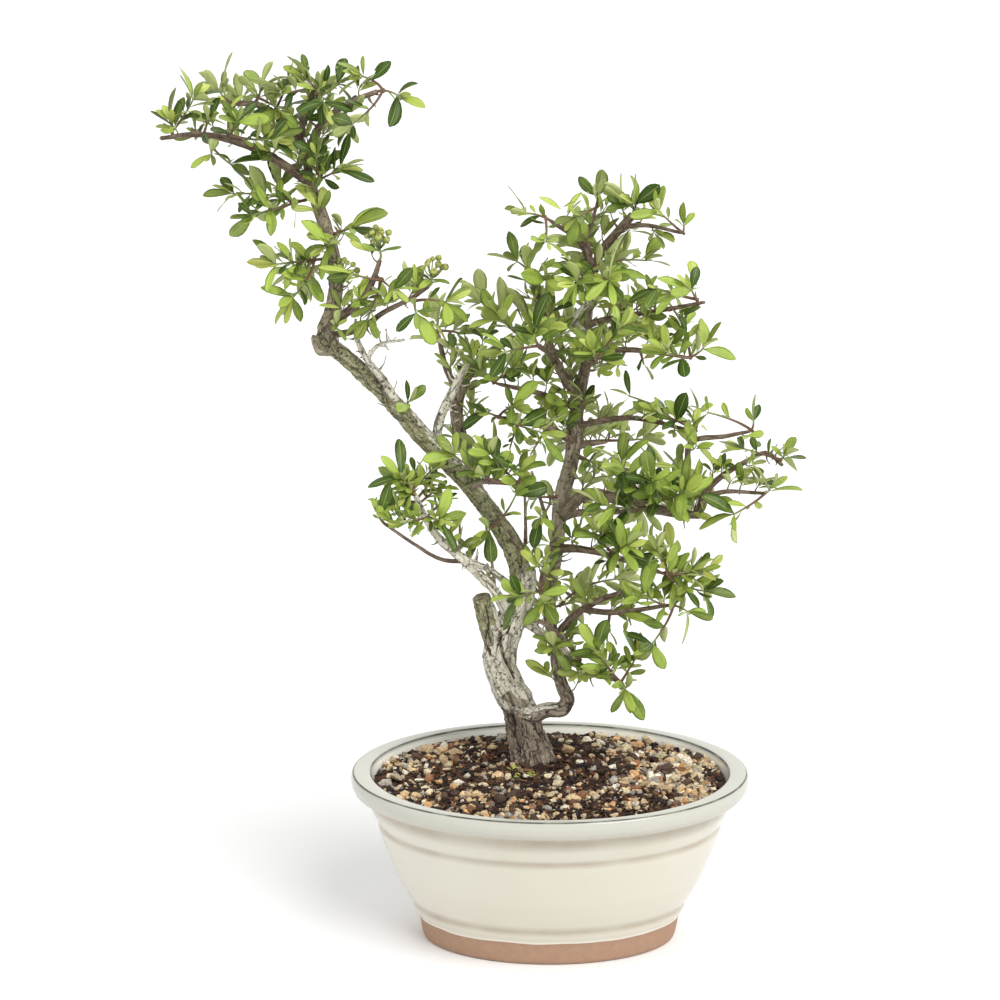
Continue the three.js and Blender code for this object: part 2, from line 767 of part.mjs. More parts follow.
// Wood: the thorns and short dead twigs first.
function makeThorns(draw) {
  const thorns = [];
  for (const [name, count] of Object.entries(THORNY_LIMBS)) {
    const path = LIMBS[name];
    for (let k = 0; k < count; k++) {
      const along = ((k + 0.6 + 0.5 * draw()) / count) * (path.length - 2) + 0.4;
      const step = Math.min(Math.floor(along), path.length - 2);
      const [a, b] = [vec(path[step]), vec(path[step + 1])];
      const foot = a.clone().lerp(b, along - step);
      const way = b.clone().sub(a).normalize();
      const out = new THREE.Vector3(draw() - 0.5, draw() - 0.7, draw() - 0.3);
      out.addScaledVector(way, -out.dot(way)).normalize();
      const radius = path[step][3];
      const length = radius + THORN_LENGTH * (0.7 + 0.5 * draw());
      const thorn = new THREE.ConeGeometry(THORN_RADIUS, length, 3);
      thorn.translate(0, length / 2, 0);
      const turn = new THREE.Quaternion().setFromUnitVectors(new THREE.Vector3(0, 1, 0), out);
      thorn.applyQuaternion(turn).translate(foot.x, foot.y, foot.z);
      thorns.push(solidFrom(thorn));
    }
  }
  return thorns;
}

function makeWood() {
  const bars = [...Object.values(LIMBS), ...Object.values(ROOTS)];
  const solids = bars.map((path) => solidFrom(bar(path, sidesFor(path))));
  return unionOf([...solids, ...makeThorns(streamNamed("thorns"))]);
}

// The nearest point of a limb: its place, the limb's radius there, its direction, and whether it is its end.
function nearestOn(path, target) {
  let best = null;
  for (let i = 0; i + 1 < path.length; i++) {
    const [a, b] = [vec(path[i]), vec(path[i + 1])];
    const span = b.clone().sub(a);
    const share = THREE.MathUtils.clamp(target.clone().sub(a).dot(span) / span.lengthSq(), 0, 1);
    const place = a.addScaledVector(span, share);
    const distance = place.distanceTo(target);
    if (!best || distance < best.distance - 1e-9) {
      const radius = THREE.MathUtils.lerp(path[i][3], path[i + 1][3], share);
      const atEnd = i + 2 === path.length && share === 1;
      best = { place, distance, radius, way: span.normalize(), atEnd };
    }
  }
  return best;
}

// A direction carried along by the shortest turn from one heading to another.
function carried(direction, from, to) {
  return direction.clone().applyQuaternion(new THREE.Quaternion().setFromUnitVectors(from, to));
}

// Twigs: each is a curve with one bend, from its start, first along `out`, to its end. `across` is where
// the first corner of its square section points.
function twigCurve(start, out, end, across) {
  const bend = start.clone().addScaledVector(out, 0.4 * start.distanceTo(end));
  return { start, bend, end, out, across, length: start.distanceTo(end), forks: [] };
}

function alongTwig(twig, share) {
  const rest = 1 - share;
  return twig.start
    .clone()
    .multiplyScalar(rest * rest)
    .addScaledVector(twig.bend, 2 * share * rest)
    .addScaledVector(twig.end, share * share);
}

// The heading of a twig and the two directions of its section's corners.
function frameOf(twig, share) {
  const first = twig.bend.clone().sub(twig.start).multiplyScalar(1 - share);
  const way = twig.end.clone().sub(twig.bend).multiplyScalar(share).add(first).normalize();
  const across = carried(twig.across, twig.out, way);
  return { way, across, up: way.clone().cross(across) };
}

const twigRadius = (share) => TWIG_RADIUS * (1 - 0.3 * share);

function ringCorner(twig, share, corner) {
  const { across, up } = frameOf(twig, share);
  const turn = (Math.PI / 2) * corner;
  return alongTwig(twig, share)
    .addScaledVector(across, twigRadius(share) * Math.cos(turn))
    .addScaledVector(up, twigRadius(share) * Math.sin(turn));
}

// The outward and sideways directions of one flat side of a twig.
function sideOf(twig, share, side) {
  const { way, across, up } = frameOf(twig, share);
  const turn = Math.PI / 4 + (Math.PI / 2) * side;
  const out = across.clone().multiplyScalar(Math.cos(turn)).addScaledVector(up, Math.sin(turn));
  return { way, out, along: way.clone().cross(out) };
}

// The side of a limb that faces a target, a gap clear of its bark; from a limb's end it goes straight on.
function springFrom(path, target) {
  const root = nearestOn(path, target);
  const out = target.clone().sub(root.place);
  if (root.atEnd) {
    const start = root.place.clone().addScaledVector(root.way, GAP);
    return { start, out: root.way };
  }
  out.addScaledVector(root.way, -out.dot(root.way)).normalize();
  return { start: root.place.clone().addScaledVector(out, root.radius + GAP), out };
}

// A fork leaves its twig by the flat side that faces where it goes.
function addFork(twig, end) {
  const share = FORK_SHARE;
  const middle = alongTwig(twig, share);
  const wanted = end.clone().sub(middle).normalize();
  const free = [0, 1, 2, 3].filter((side) => twig.forks.every((fork) => fork.side !== side));
  const facing = (side) => sideOf(twig, share, side).out.dot(wanted);
  const side = free.reduce((best, one) => (facing(one) > facing(best) + 1e-9 ? one : best), free[0]);
  const { out } = sideOf(twig, share, side);
  const start = middle.addScaledVector(out, twigRadius(share) * Math.SQRT1_2);
  const heading = out.clone().multiplyScalar(0.8).add(wanted).normalize();
  const low = share - FORK_HALF_HEIGHT / twig.length;
  const corner = ringCorner(twig, low, side).sub(start);
  const across = carried(corner.addScaledVector(out, -corner.dot(out)).normalize(), out, heading);
  const fork = twigCurve(start, heading, end, across);
  twig.forks.push({ side, twig: fork });
  return fork;
}

function twigsOf(spray, draw) {
  const ends = spray.ends.map(vec);
  const { start, out } = springFrom(LIMBS[spray.limb], ends[0]);
  const level = Math.abs(out.z) < 0.95 ? new THREE.Vector3(0, 0, 1) : new THREE.Vector3(1, 0, 0);
  const across = level.addScaledVector(out, -level.dot(out)).normalize();
  across.applyAxisAngle(out, 1.5 * draw());
  const first = twigCurve(start, out, ends[0], across);
  return [first, ...ends.slice(1).map((end) => addFork(first, end))];
}

// Where the leaves stand on a twig: shares of its length, from its end down.
function leafStations(twig) {
  const count = 1 + Math.round(twig.length / TWIG_LENGTH_PER_STATION);
  const lowest = twig.forks.length ? LOWEST_STATION_PAST_FORKS : LOWEST_STATION;
  const last = 1 - STATION_HALF_HEIGHT / twig.length;
  return Array.from({ length: count }, (_, k) => (k ? last - ((last - lowest) * k) / (count - 0.4) : last));
}

// A leaf: its foot, the direction it grows in, its upper face's direction, and its sideways direction. Its
// face turns up to the light, but not so far that its foot, which is wide along `along`, is wrung.
function leafFrom(foot, out, way, along, roll, length) {
  const lit = new THREE.Vector3(0.35 * way.x, 0.35 * way.y, 0.9).addScaledVector(along, roll);
  const edge = lit.addScaledVector(out, -lit.dot(out)).normalize().cross(out);
  const hold = along.clone().addScaledVector(out, -along.dot(out)).normalize();
  edge.addScaledVector(hold, edge.dot(hold) < 0 ? -FOOT_HOLD : FOOT_HOLD).normalize();
  const face = out.clone().cross(edge);
  return { foot, out, face, edge, length, width: length * LEAF_WIDTH_RATIO };
}

// A leaf on one side of a station; `swing` turns it round its twig and `tilt` away from its twig's end.
function sideLeaf(twig, share, side, tilt, swing, roll, length) {
  const { way, out, along } = sideOf(twig, share, side);
  const foot = alongTwig(twig, share).addScaledVector(out, twigRadius(share) * Math.SQRT1_2);
  const grow = out.clone().multiplyScalar(Math.cos(swing)).addScaledVector(along, Math.sin(swing));
  grow.multiplyScalar(Math.sin(tilt)).addScaledVector(way, Math.cos(tilt));
  grow.z += UPWARD_LEAN;
  return leafFrom(foot, grow.normalize(), way, along, roll, length);
}

function endLeaf(twig, tilt, swing, roll, length) {
  const { way, across, up } = frameOf(twig, 1);
  const grow = across.clone().multiplyScalar(Math.cos(swing)).addScaledVector(up, Math.sin(swing));
  grow.multiplyScalar(Math.sin(tilt)).addScaledVector(way, Math.cos(tilt));
  grow.z += UPWARD_LEAN;
  return leafFrom(twig.end.clone(), grow.normalize(), way, up.clone().sub(across), roll, length);
}

// A point of a leaf: `along` from 0 at its foot to 1 at its tip, `across` from -1 to 1, bent down to its tip.
function leafPoint(leaf, along, across, lift = 0) {
  const droop = LEAF_DROOP * leaf.length * along * along;
  return leaf.foot
    .clone()
    .addScaledVector(leaf.out, along * leaf.length)
    .addScaledVector(leaf.edge, (across * leaf.width) / 2)
    .addScaledVector(leaf.face, lift - droop);
}

// Sample points of a leaf, [along, across], by which leaves keep clear of each other.
const LEAF_SAMPLES = [
  [0.3, 0],
  [0.55, 0],
  [0.8, 0],
  [0.98, 0],
  [0.5, -0.85],
  [0.5, 0.85],
  [0.8, -0.85],
  [0.8, 0.85],
];

function distanceToSpan(p, a, b) {
  const span = b.clone().sub(a);
  const share = THREE.MathUtils.clamp(p.clone().sub(a).dot(span) / span.lengthSq(), 0, 1);
  return p.distanceTo(a.clone().addScaledVector(span, share));
}

// Everything a new leaf has to miss: the spans of limbs and twigs, the balls of berries, and earlier leaves.
const crowd = { spans: [], balls: [], samples: [] };

function addSpans(path, owner) {
  for (let i = 0; i + 1 < path.length; i++) {
    const radius = Math.max(path[i][3], path[i + 1][3]);
    crowd.spans.push({ a: vec(path[i]), b: vec(path[i + 1]), radius, owner });
  }
}

function addTwigSpans(twig) {
  const path = [0, 1 / 3, 2 / 3, 1].map((share) => {
    const p = alongTwig(twig, share);
    return [p.x, p.y, p.z, TWIG_RADIUS];
  });
  addSpans(path, twig);
}

function isClear(points, twig, spray) {
  for (const p of points) {
    for (const span of crowd.spans) {
      if (span.owner !== twig && distanceToSpan(p, span.a, span.b) < span.radius + BAR_CLEARANCE) {
        return false;
      }
    }
    if (crowd.balls.some((ball) => p.distanceTo(ball.middle) < ball.radius)) return false;
  }
  return points.every((p, k) =>
    crowd.samples.every((other) => {
      if (other.twig === twig && (k === 0 || other.first)) return true;
      return p.distanceTo(other.place) >= (other.spray === spray ? OWN_CLEARANCE : LEAF_CLEARANCE);
    }),
  );
}

// The first way of growing that is clear, or none.
function settle(grow, twig, spray) {
  for (const [moreTilt, moreSwing, size] of GROWING_WAYS) {
    const leaf = grow(THREE.MathUtils.degToRad(moreTilt), THREE.MathUtils.degToRad(moreSwing), size);
    const points = LEAF_SAMPLES.map(([along, across]) => leafPoint(leaf, along, across));
    if (!isClear(points, twig, spray)) continue;
    points.forEach((place, k) => crowd.samples.push({ place, spray, twig, first: k === 0 }));
    return leaf;
  }
  return null;
}

// The leaves of one twig: one at its end, and at each station on two opposite sides in turn.
function leavesOf(twig, spray, draw) {
  const leaves = { end: null, stations: [] };
  const length = () => LEAF_LENGTH * (0.8 + 0.4 * draw());
  const [tilt, swing, roll, size] = [0.2 * draw(), 6.3 * draw(), 0.7 * (draw() - 0.5), length()];
  const growEnd = (more, turn, small) => endLeaf(twig, tilt + more, swing + turn, roll, size * small);
  leaves.end = settle(growEnd, twig, spray);
  leafStations(twig).forEach((share, k) => {
    const station = { share, sides: new Map() };
    for (let side = 0; side < 4; side++) {
      const tilt = THREE.MathUtils.degToRad(SIDE_LEAF_TILT + TILT_PER_STATION * k + 14 * draw());
      const swing = 0.8 * (draw() - 0.5);
      const roll = 0.8 * (draw() - 0.5);
      const size = length();
      if ((side + k) % 2 === 1) continue;
      const grow = (more, turn, small) =>
        sideLeaf(twig, share, side, tilt + more, swing + turn, roll, size * small);
      const leaf = settle(grow, twig, spray);
      if (leaf) station.sides.set(side, leaf);
    }
    if (station.sides.size) leaves.stations.push(station);
  });
  return leaves;
}

// A skin to which rings of four corners are added, each joined to the one before by a sleeve.
function newSkin() {
  return { places: [], faces: [] };
}

function addRing(skin, points) {
  return points.map((p) => skin.places.push(p) - 1);
}

// The four walls between two rings; the walls named in `open` are left out. The walls of a blade's two
// faces are split along the same diagonal, so that the faces can't cross.
function addSleeve(skin, from, to, open = []) {
  for (let k = 0; k < 4; k++) {
    const n = (k + 1) % 4;
    if (open.includes(k)) continue;
    if (k === 2) skin.faces.push(from[k], from[n], to[k], from[n], to[n], to[k]);
    else skin.faces.push(from[k], from[n], to[n], from[k], to[n], to[k]);
  }
}

function addCap(skin, ring) {
  skin.faces.push(ring[0], ring[1], ring[2], ring[0], ring[2], ring[3]);
}

// A blade grown out of a four-cornered opening: widest past its middle, with a blunt tip.
function addBlade(skin, opening, leaf) {
  const along = skin.places[opening[1]].clone().sub(skin.places[opening[0]]);
  const sense = leaf.edge.dot(along) < 0 ? -1 : 1;
  let base = opening;
  for (const [share, width] of LEAF_SECTIONS) {
    const wide = sense * width;
    const half = (sense * LEAF_THICKNESS) / 2;
    const section = [
      leafPoint(leaf, share, -wide, -half),
      leafPoint(leaf, share, wide, -half),
      leafPoint(leaf, share, wide, half),
      leafPoint(leaf, share, -wide, half),
    ];
    const next = addRing(skin, section);
    addSleeve(skin, base, next);
    base = next;
  }
  addCap(skin, base);
}

// A twig grown out of a ring of four corners, with the leaves and forks that sprout from its sides.
function addTwig(skin, opening, twig, leavesByTwig) {
  const leaves = leavesByTwig.get(twig);
  const stations = [...leaves.stations];
  if (twig.forks.length) stations.push({ share: FORK_SHARE, sides: new Map(), forks: twig.forks });
  stations.sort((a, b) => a.share - b.share);
  let base = opening;
  let reached = 0;
  const ringAt = (share) => addRing(skin, [0, 1, 2, 3].map((corner) => ringCorner(twig, share, corner)));
  for (const { share, sides, forks = [] } of stations) {
    const half = (forks.length ? FORK_HALF_HEIGHT : STATION_HALF_HEIGHT) / twig.length;
    const steps = (share - half - reached) * twig.length > LONGEST_STEP ? 2 : 1;
    for (let k = 1; k <= steps; k++) {
      const next = ringAt(reached + ((share - half - reached) * k) / steps);
      addSleeve(skin, base, next);
      base = next;
    }
    reached = share + half;
    const next = ringAt(reached);
    addSleeve(skin, base, next, [...sides.keys(), ...forks.map((fork) => fork.side)]);
    const openingOn = (side) => {
      const n = (side + 1) % 4;
      return [base[side], base[n], next[n], next[side]];
    };
    for (const [side, leaf] of sides) addBlade(skin, openingOn(side), leaf);
    for (const fork of forks) addTwig(skin, openingOn(fork.side), fork.twig, leavesByTwig);
    base = next;
  }
  if (leaves.end) addBlade(skin, base, leaves.end);
  else addCap(skin, base);
}

function makeSpray(twigs, leavesByTwig) {
  const skin = newSkin();
  const start = addRing(skin, [0, 1, 2, 3].map((corner) => ringCorner(twigs[0], 0, corner)));
  addCap(skin, [start[3], start[2], start[1], start[0]]);
  addTwig(skin, start, twigs[0], leavesByTwig);
  const geometry = new THREE.BufferGeometry().setFromPoints(skin.places);
  return geometry.setIndex(skin.faces);
}

// Berries
function makeBerries(name) {
  const { limb, middle, count } = BERRY_CLUSTERS[name];
  const heart = vec(middle);
  const { start, out } = springFrom(LIMBS[limb], heart);
  const foot = heart.clone().sub(start).multiplyScalar(0.45).add(start);
  const stalk = [start, start.clone().addScaledVector(out, 0.3 * start.distanceTo(foot)), foot];
  const up = heart.clone().sub(start).normalize().add(new THREE.Vector3(0, 0, 0.6)).normalize();
  const side = up.clone().cross(new THREE.Vector3(0.3, 1, 0)).normalize();
  const third = up.clone().cross(side);
  const hub = new THREE.OctahedronGeometry(HUB_RADIUS).translate(foot.x, foot.y, foot.z);
  const solids = [solidFrom(hub), solidFrom(bar(stalk.map((p) => [p.x, p.y, p.z, STALK_RADIUS]), 4))];
  for (let k = 0; k < count; k++) {
    const lean = Math.acos(1 - 0.95 * ((k + 0.5) / count));
    const turn = k * GOLDEN_ANGLE;
    const ray = up
      .clone()
      .multiplyScalar(Math.cos(lean))
      .addScaledVector(side, Math.sin(lean) * Math.cos(turn))
      .addScaledVector(third, Math.sin(lean) * Math.sin(turn));
    const place = heart.clone().addScaledVector(up, -2).addScaledVector(ray, CLUSTER_RADIUS);
    solids.push(solidFrom(makeBerry(foot, place)));
  }
  return unionOf(solids);
}

// A berry on its stem: a faceted ball, one of whose triangles is drawn out to the stem's foot.
function makeBerry(foot, place) {
  const round = new THREE.IcosahedronGeometry(BERRY_RADIUS);
  const ball = mergeVertices(round.deleteAttribute("normal").deleteAttribute("uv"), 1e-4);
  const index = [...ball.index.array];
  const corners = () => index.slice(0, 3).map((k) => placeIn(ball, k));
  const opening = corners().reduce((sum, p) => sum.add(p), new THREE.Vector3()).normalize();
  const down = foot.clone().sub(place).normalize();
  ball.applyQuaternion(new THREE.Quaternion().setFromUnitVectors(opening, down));
  const stemRing = (reach) =>
    corners().map((p) => {
      const off = p.addScaledVector(down, -p.dot(down)).multiplyScalar(STEM_RADIUS / BERRY_RADIUS);
      return off.addScaledVector(down, reach);
    });
  const stem = [...stemRing(BERRY_RADIUS), ...stemRing(place.distanceTo(foot))];
  const places = [...ball.getAttribute("position").array, ...stem.flatMap((p) => [p.x, p.y, p.z])];
  const count = ball.getAttribute("position").count;
  const rings = [index.slice(0, 3), [count, count + 1, count + 2], [count + 3, count + 4, count + 5]];
  const faces = index.slice(3);
  for (const [from, to] of [rings.slice(0, 2), rings.slice(1)]) {
    for (let k = 0; k < 3; k++) {
      const n = (k + 1) % 3;
      faces.push(from[k], from[n], to[n], from[k], to[n], to[k]);
    }
  }
  faces.push(...rings[2]);
  const geometry = new THREE.BufferGeometry();
  geometry.setAttribute("position", new THREE.Float32BufferAttribute(places, 3));
  return geometry.setIndex(faces).translate(place.x, place.y, place.z);
}

// The scene graph
const bonsai = new THREE.Group();
bonsai.name = "pyracantha_bonsai";

function addPiece(name, geometry, finish) {
  geometry.computeVertexNormals();
  const piece = new THREE.Mesh(geometry, new THREE.MeshStandardMaterial(FINISHES[finish]));
  piece.name = name;
  bonsai.add(piece);
}

addPiece("pot", geometryFrom(makePot()), "glaze");
addPiece("drain_screen_left", geometryFrom(makeScreen(-DRAIN_HOLE_X)), "screen");
addPiece("drain_screen_right", geometryFrom(makeScreen(DRAIN_HOLE_X)), "screen");
addPiece("soil", geometryFrom(makeSoil()), "soil");
addPiece("trunk_and_branches", geometryFrom(makeWood()), "wood");

for (const [name, path] of Object.entries(LIMBS)) addSpans(path, name);
for (const [name, cluster] of Object.entries(BERRY_CLUSTERS)) {
  crowd.balls.push({ middle: vec(cluster.middle), radius: CLUSTER_RADIUS + BERRY_RADIUS + 1 });
  addPiece(name, geometryFrom(makeBerries(name)), "berry");
}
const sprays = Object.entries(SPRAYS).map(([name, spray]) => {
  const draw = streamNamed(name);
  return { name, draw, twigs: twigsOf(spray, draw) };
});
for (const { twigs } of sprays) twigs.forEach(addTwigSpans);
for (const { name, twigs, draw } of sprays) {
  const leavesByTwig = new Map(twigs.map((twig) => [twig, leavesOf(twig, name, draw)]));
  addPiece("spray_" + name, makeSpray(twigs, leavesByTwig), "leaf");
}

const box = new THREE.Box3().setFromObject(bonsai);
const middle = box.getCenter(new THREE.Vector3());
bonsai.position.set(-middle.x, -middle.y, -box.min.z);

export default bonsai;
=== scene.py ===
"""A pyracantha bonsai in an oval glazed pot: fine shapes and finishes over the packed model."""
import functools
import math

import bpy
import numpy as np
from bpy.props import FloatProperty, FloatVectorProperty, IntProperty, PointerProperty
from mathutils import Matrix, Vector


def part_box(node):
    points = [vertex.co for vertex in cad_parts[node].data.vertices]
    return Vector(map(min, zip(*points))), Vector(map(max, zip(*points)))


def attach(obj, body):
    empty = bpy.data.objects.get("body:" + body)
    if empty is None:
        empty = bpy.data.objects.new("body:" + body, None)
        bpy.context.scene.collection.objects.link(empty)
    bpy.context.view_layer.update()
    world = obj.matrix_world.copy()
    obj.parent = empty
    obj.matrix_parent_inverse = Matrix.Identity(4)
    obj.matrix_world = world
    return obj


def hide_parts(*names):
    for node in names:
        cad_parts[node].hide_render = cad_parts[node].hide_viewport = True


bl_info = {
    "name": "Pyracantha bonsai",
    "version": (1, 0, 0),
    "blender": (4, 5, 0),
    "location": "3D View > Sidebar > Bonsai",
    "description": "Builds a potted pyracantha bonsai: glazed pot, gritty soil, weathered wood and leaves",
    "category": "Object",
}

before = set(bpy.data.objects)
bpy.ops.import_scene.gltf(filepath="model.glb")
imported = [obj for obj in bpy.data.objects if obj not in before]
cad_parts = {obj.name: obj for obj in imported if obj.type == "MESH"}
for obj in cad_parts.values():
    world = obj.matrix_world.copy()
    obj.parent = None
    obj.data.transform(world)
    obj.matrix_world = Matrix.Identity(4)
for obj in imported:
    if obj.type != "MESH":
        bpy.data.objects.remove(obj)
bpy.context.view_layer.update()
POT_LOW, POT_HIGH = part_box("pot")

# Below, places and sizes are in millimetres from the middle of the pot's foot, until `to_frame`.
POT_MIDDLE = np.array([(POT_LOW.x + POT_HIGH.x) / 2, (POT_LOW.y + POT_HIGH.y) / 2, POT_LOW.z])
HALF_LENGTH = 127.0
HALF_DEPTH = 100.0
GOLDEN_ANGLE = math.radians(137.5)

# The pot's profile from the middle of its underside round to the middle of its floor: how far in from
# the rim's oval along the length and the depth, the height, and marks for a dark line and a groove, whose
# mark under the rim's lip is painted shade. On the outside both insets are the same, and there is no line:
# (inset, height, groove and painted shade).
POT_OUTSIDE = [
    (53, 5, 0), (53, 0.6, 0), (52.5, 0, 0), (45.6, 0, 0), (45, 0.7, 0), (44, 5, 0), (42.4, 14.2, 0),
    (41.7, 15.1, 0.4), (41.5, 16.2, 0), (38.7, 21, 0), (38.2, 22.7, 0.6), (39.3, 24.3, 1), (37.9, 25.9, 0.6),
    (35.2, 29.3, 0), (31.9, 35, 0), (26.4, 46.2, 0), (20.5, 61.9, 0), (16.3, 74.7, 0), (16, 76.4, 0.5),
    # the groove marks from 92.6 to 100.4 mm high lie under the rim's rolled lip, where there is no groove:
    # painted shade
    (17.5, 78.1, 1), (16.5, 79.4, 0.6), (15.3, 81, 0), (12.4, 86.7, 0), (10.7, 92.6, 0.8), (9.8, 95.6, 1),
    (8.3, 97.1, 1), (3.6, 98.6, 0.7), (1.1, 100.4, 0.3), (-0.4, 103.4, 0), (-0.9, 107, 0),
]
POT_PROFILE = [(inset, inset, height, 0, groove_and_lip_shade) for inset, height, groove_and_lip_shade in POT_OUTSIDE] + [
    (-0.5, -0.5, 110.2, 0.1, 0), (0.4, 0.4, 111.6, 1, 0), (1.5, 1.4, 112, 0.2, 0), (6, 3.5, 112, 0, 0),
    (10.4, 5, 111.9, 0.1, 0), (11.7, 6, 111.3, 1, 0), (12.4, 6.9, 109.9, 0.3, 0), (13.9, 8.9, 104, 0, 0),
    (23, 21.5, 80, 0, 0), (35, 34, 45, 0, 0), (46.5, 44.5, 21, 0, 0), (54, 52, 14.8, 0, 0),
    (58, 56, 14, 0, 0),
]
# The height from which the rim's rows stand closer
RIM_FOOT = 96
# The pot's inner wall, (length inset, depth inset, height), and the gap between it and the soil
POT_INSIDE = [(56, 54, 14), (46.5, 44.5, 21), (35, 34, 45), (23, 21.5, 80), (12, 6.5, 111.2)]
SOIL_GAP = 0.45
# The drain holes' x and radius
DRAIN_HOLES = [(-38, 8), (38, 8)]

SOIL_EDGE_HEIGHT = 105.5
SOIL_MOUND = 6.0
SOIL_LUMPS = 2.4
SOIL_TOP = (-6, 8)

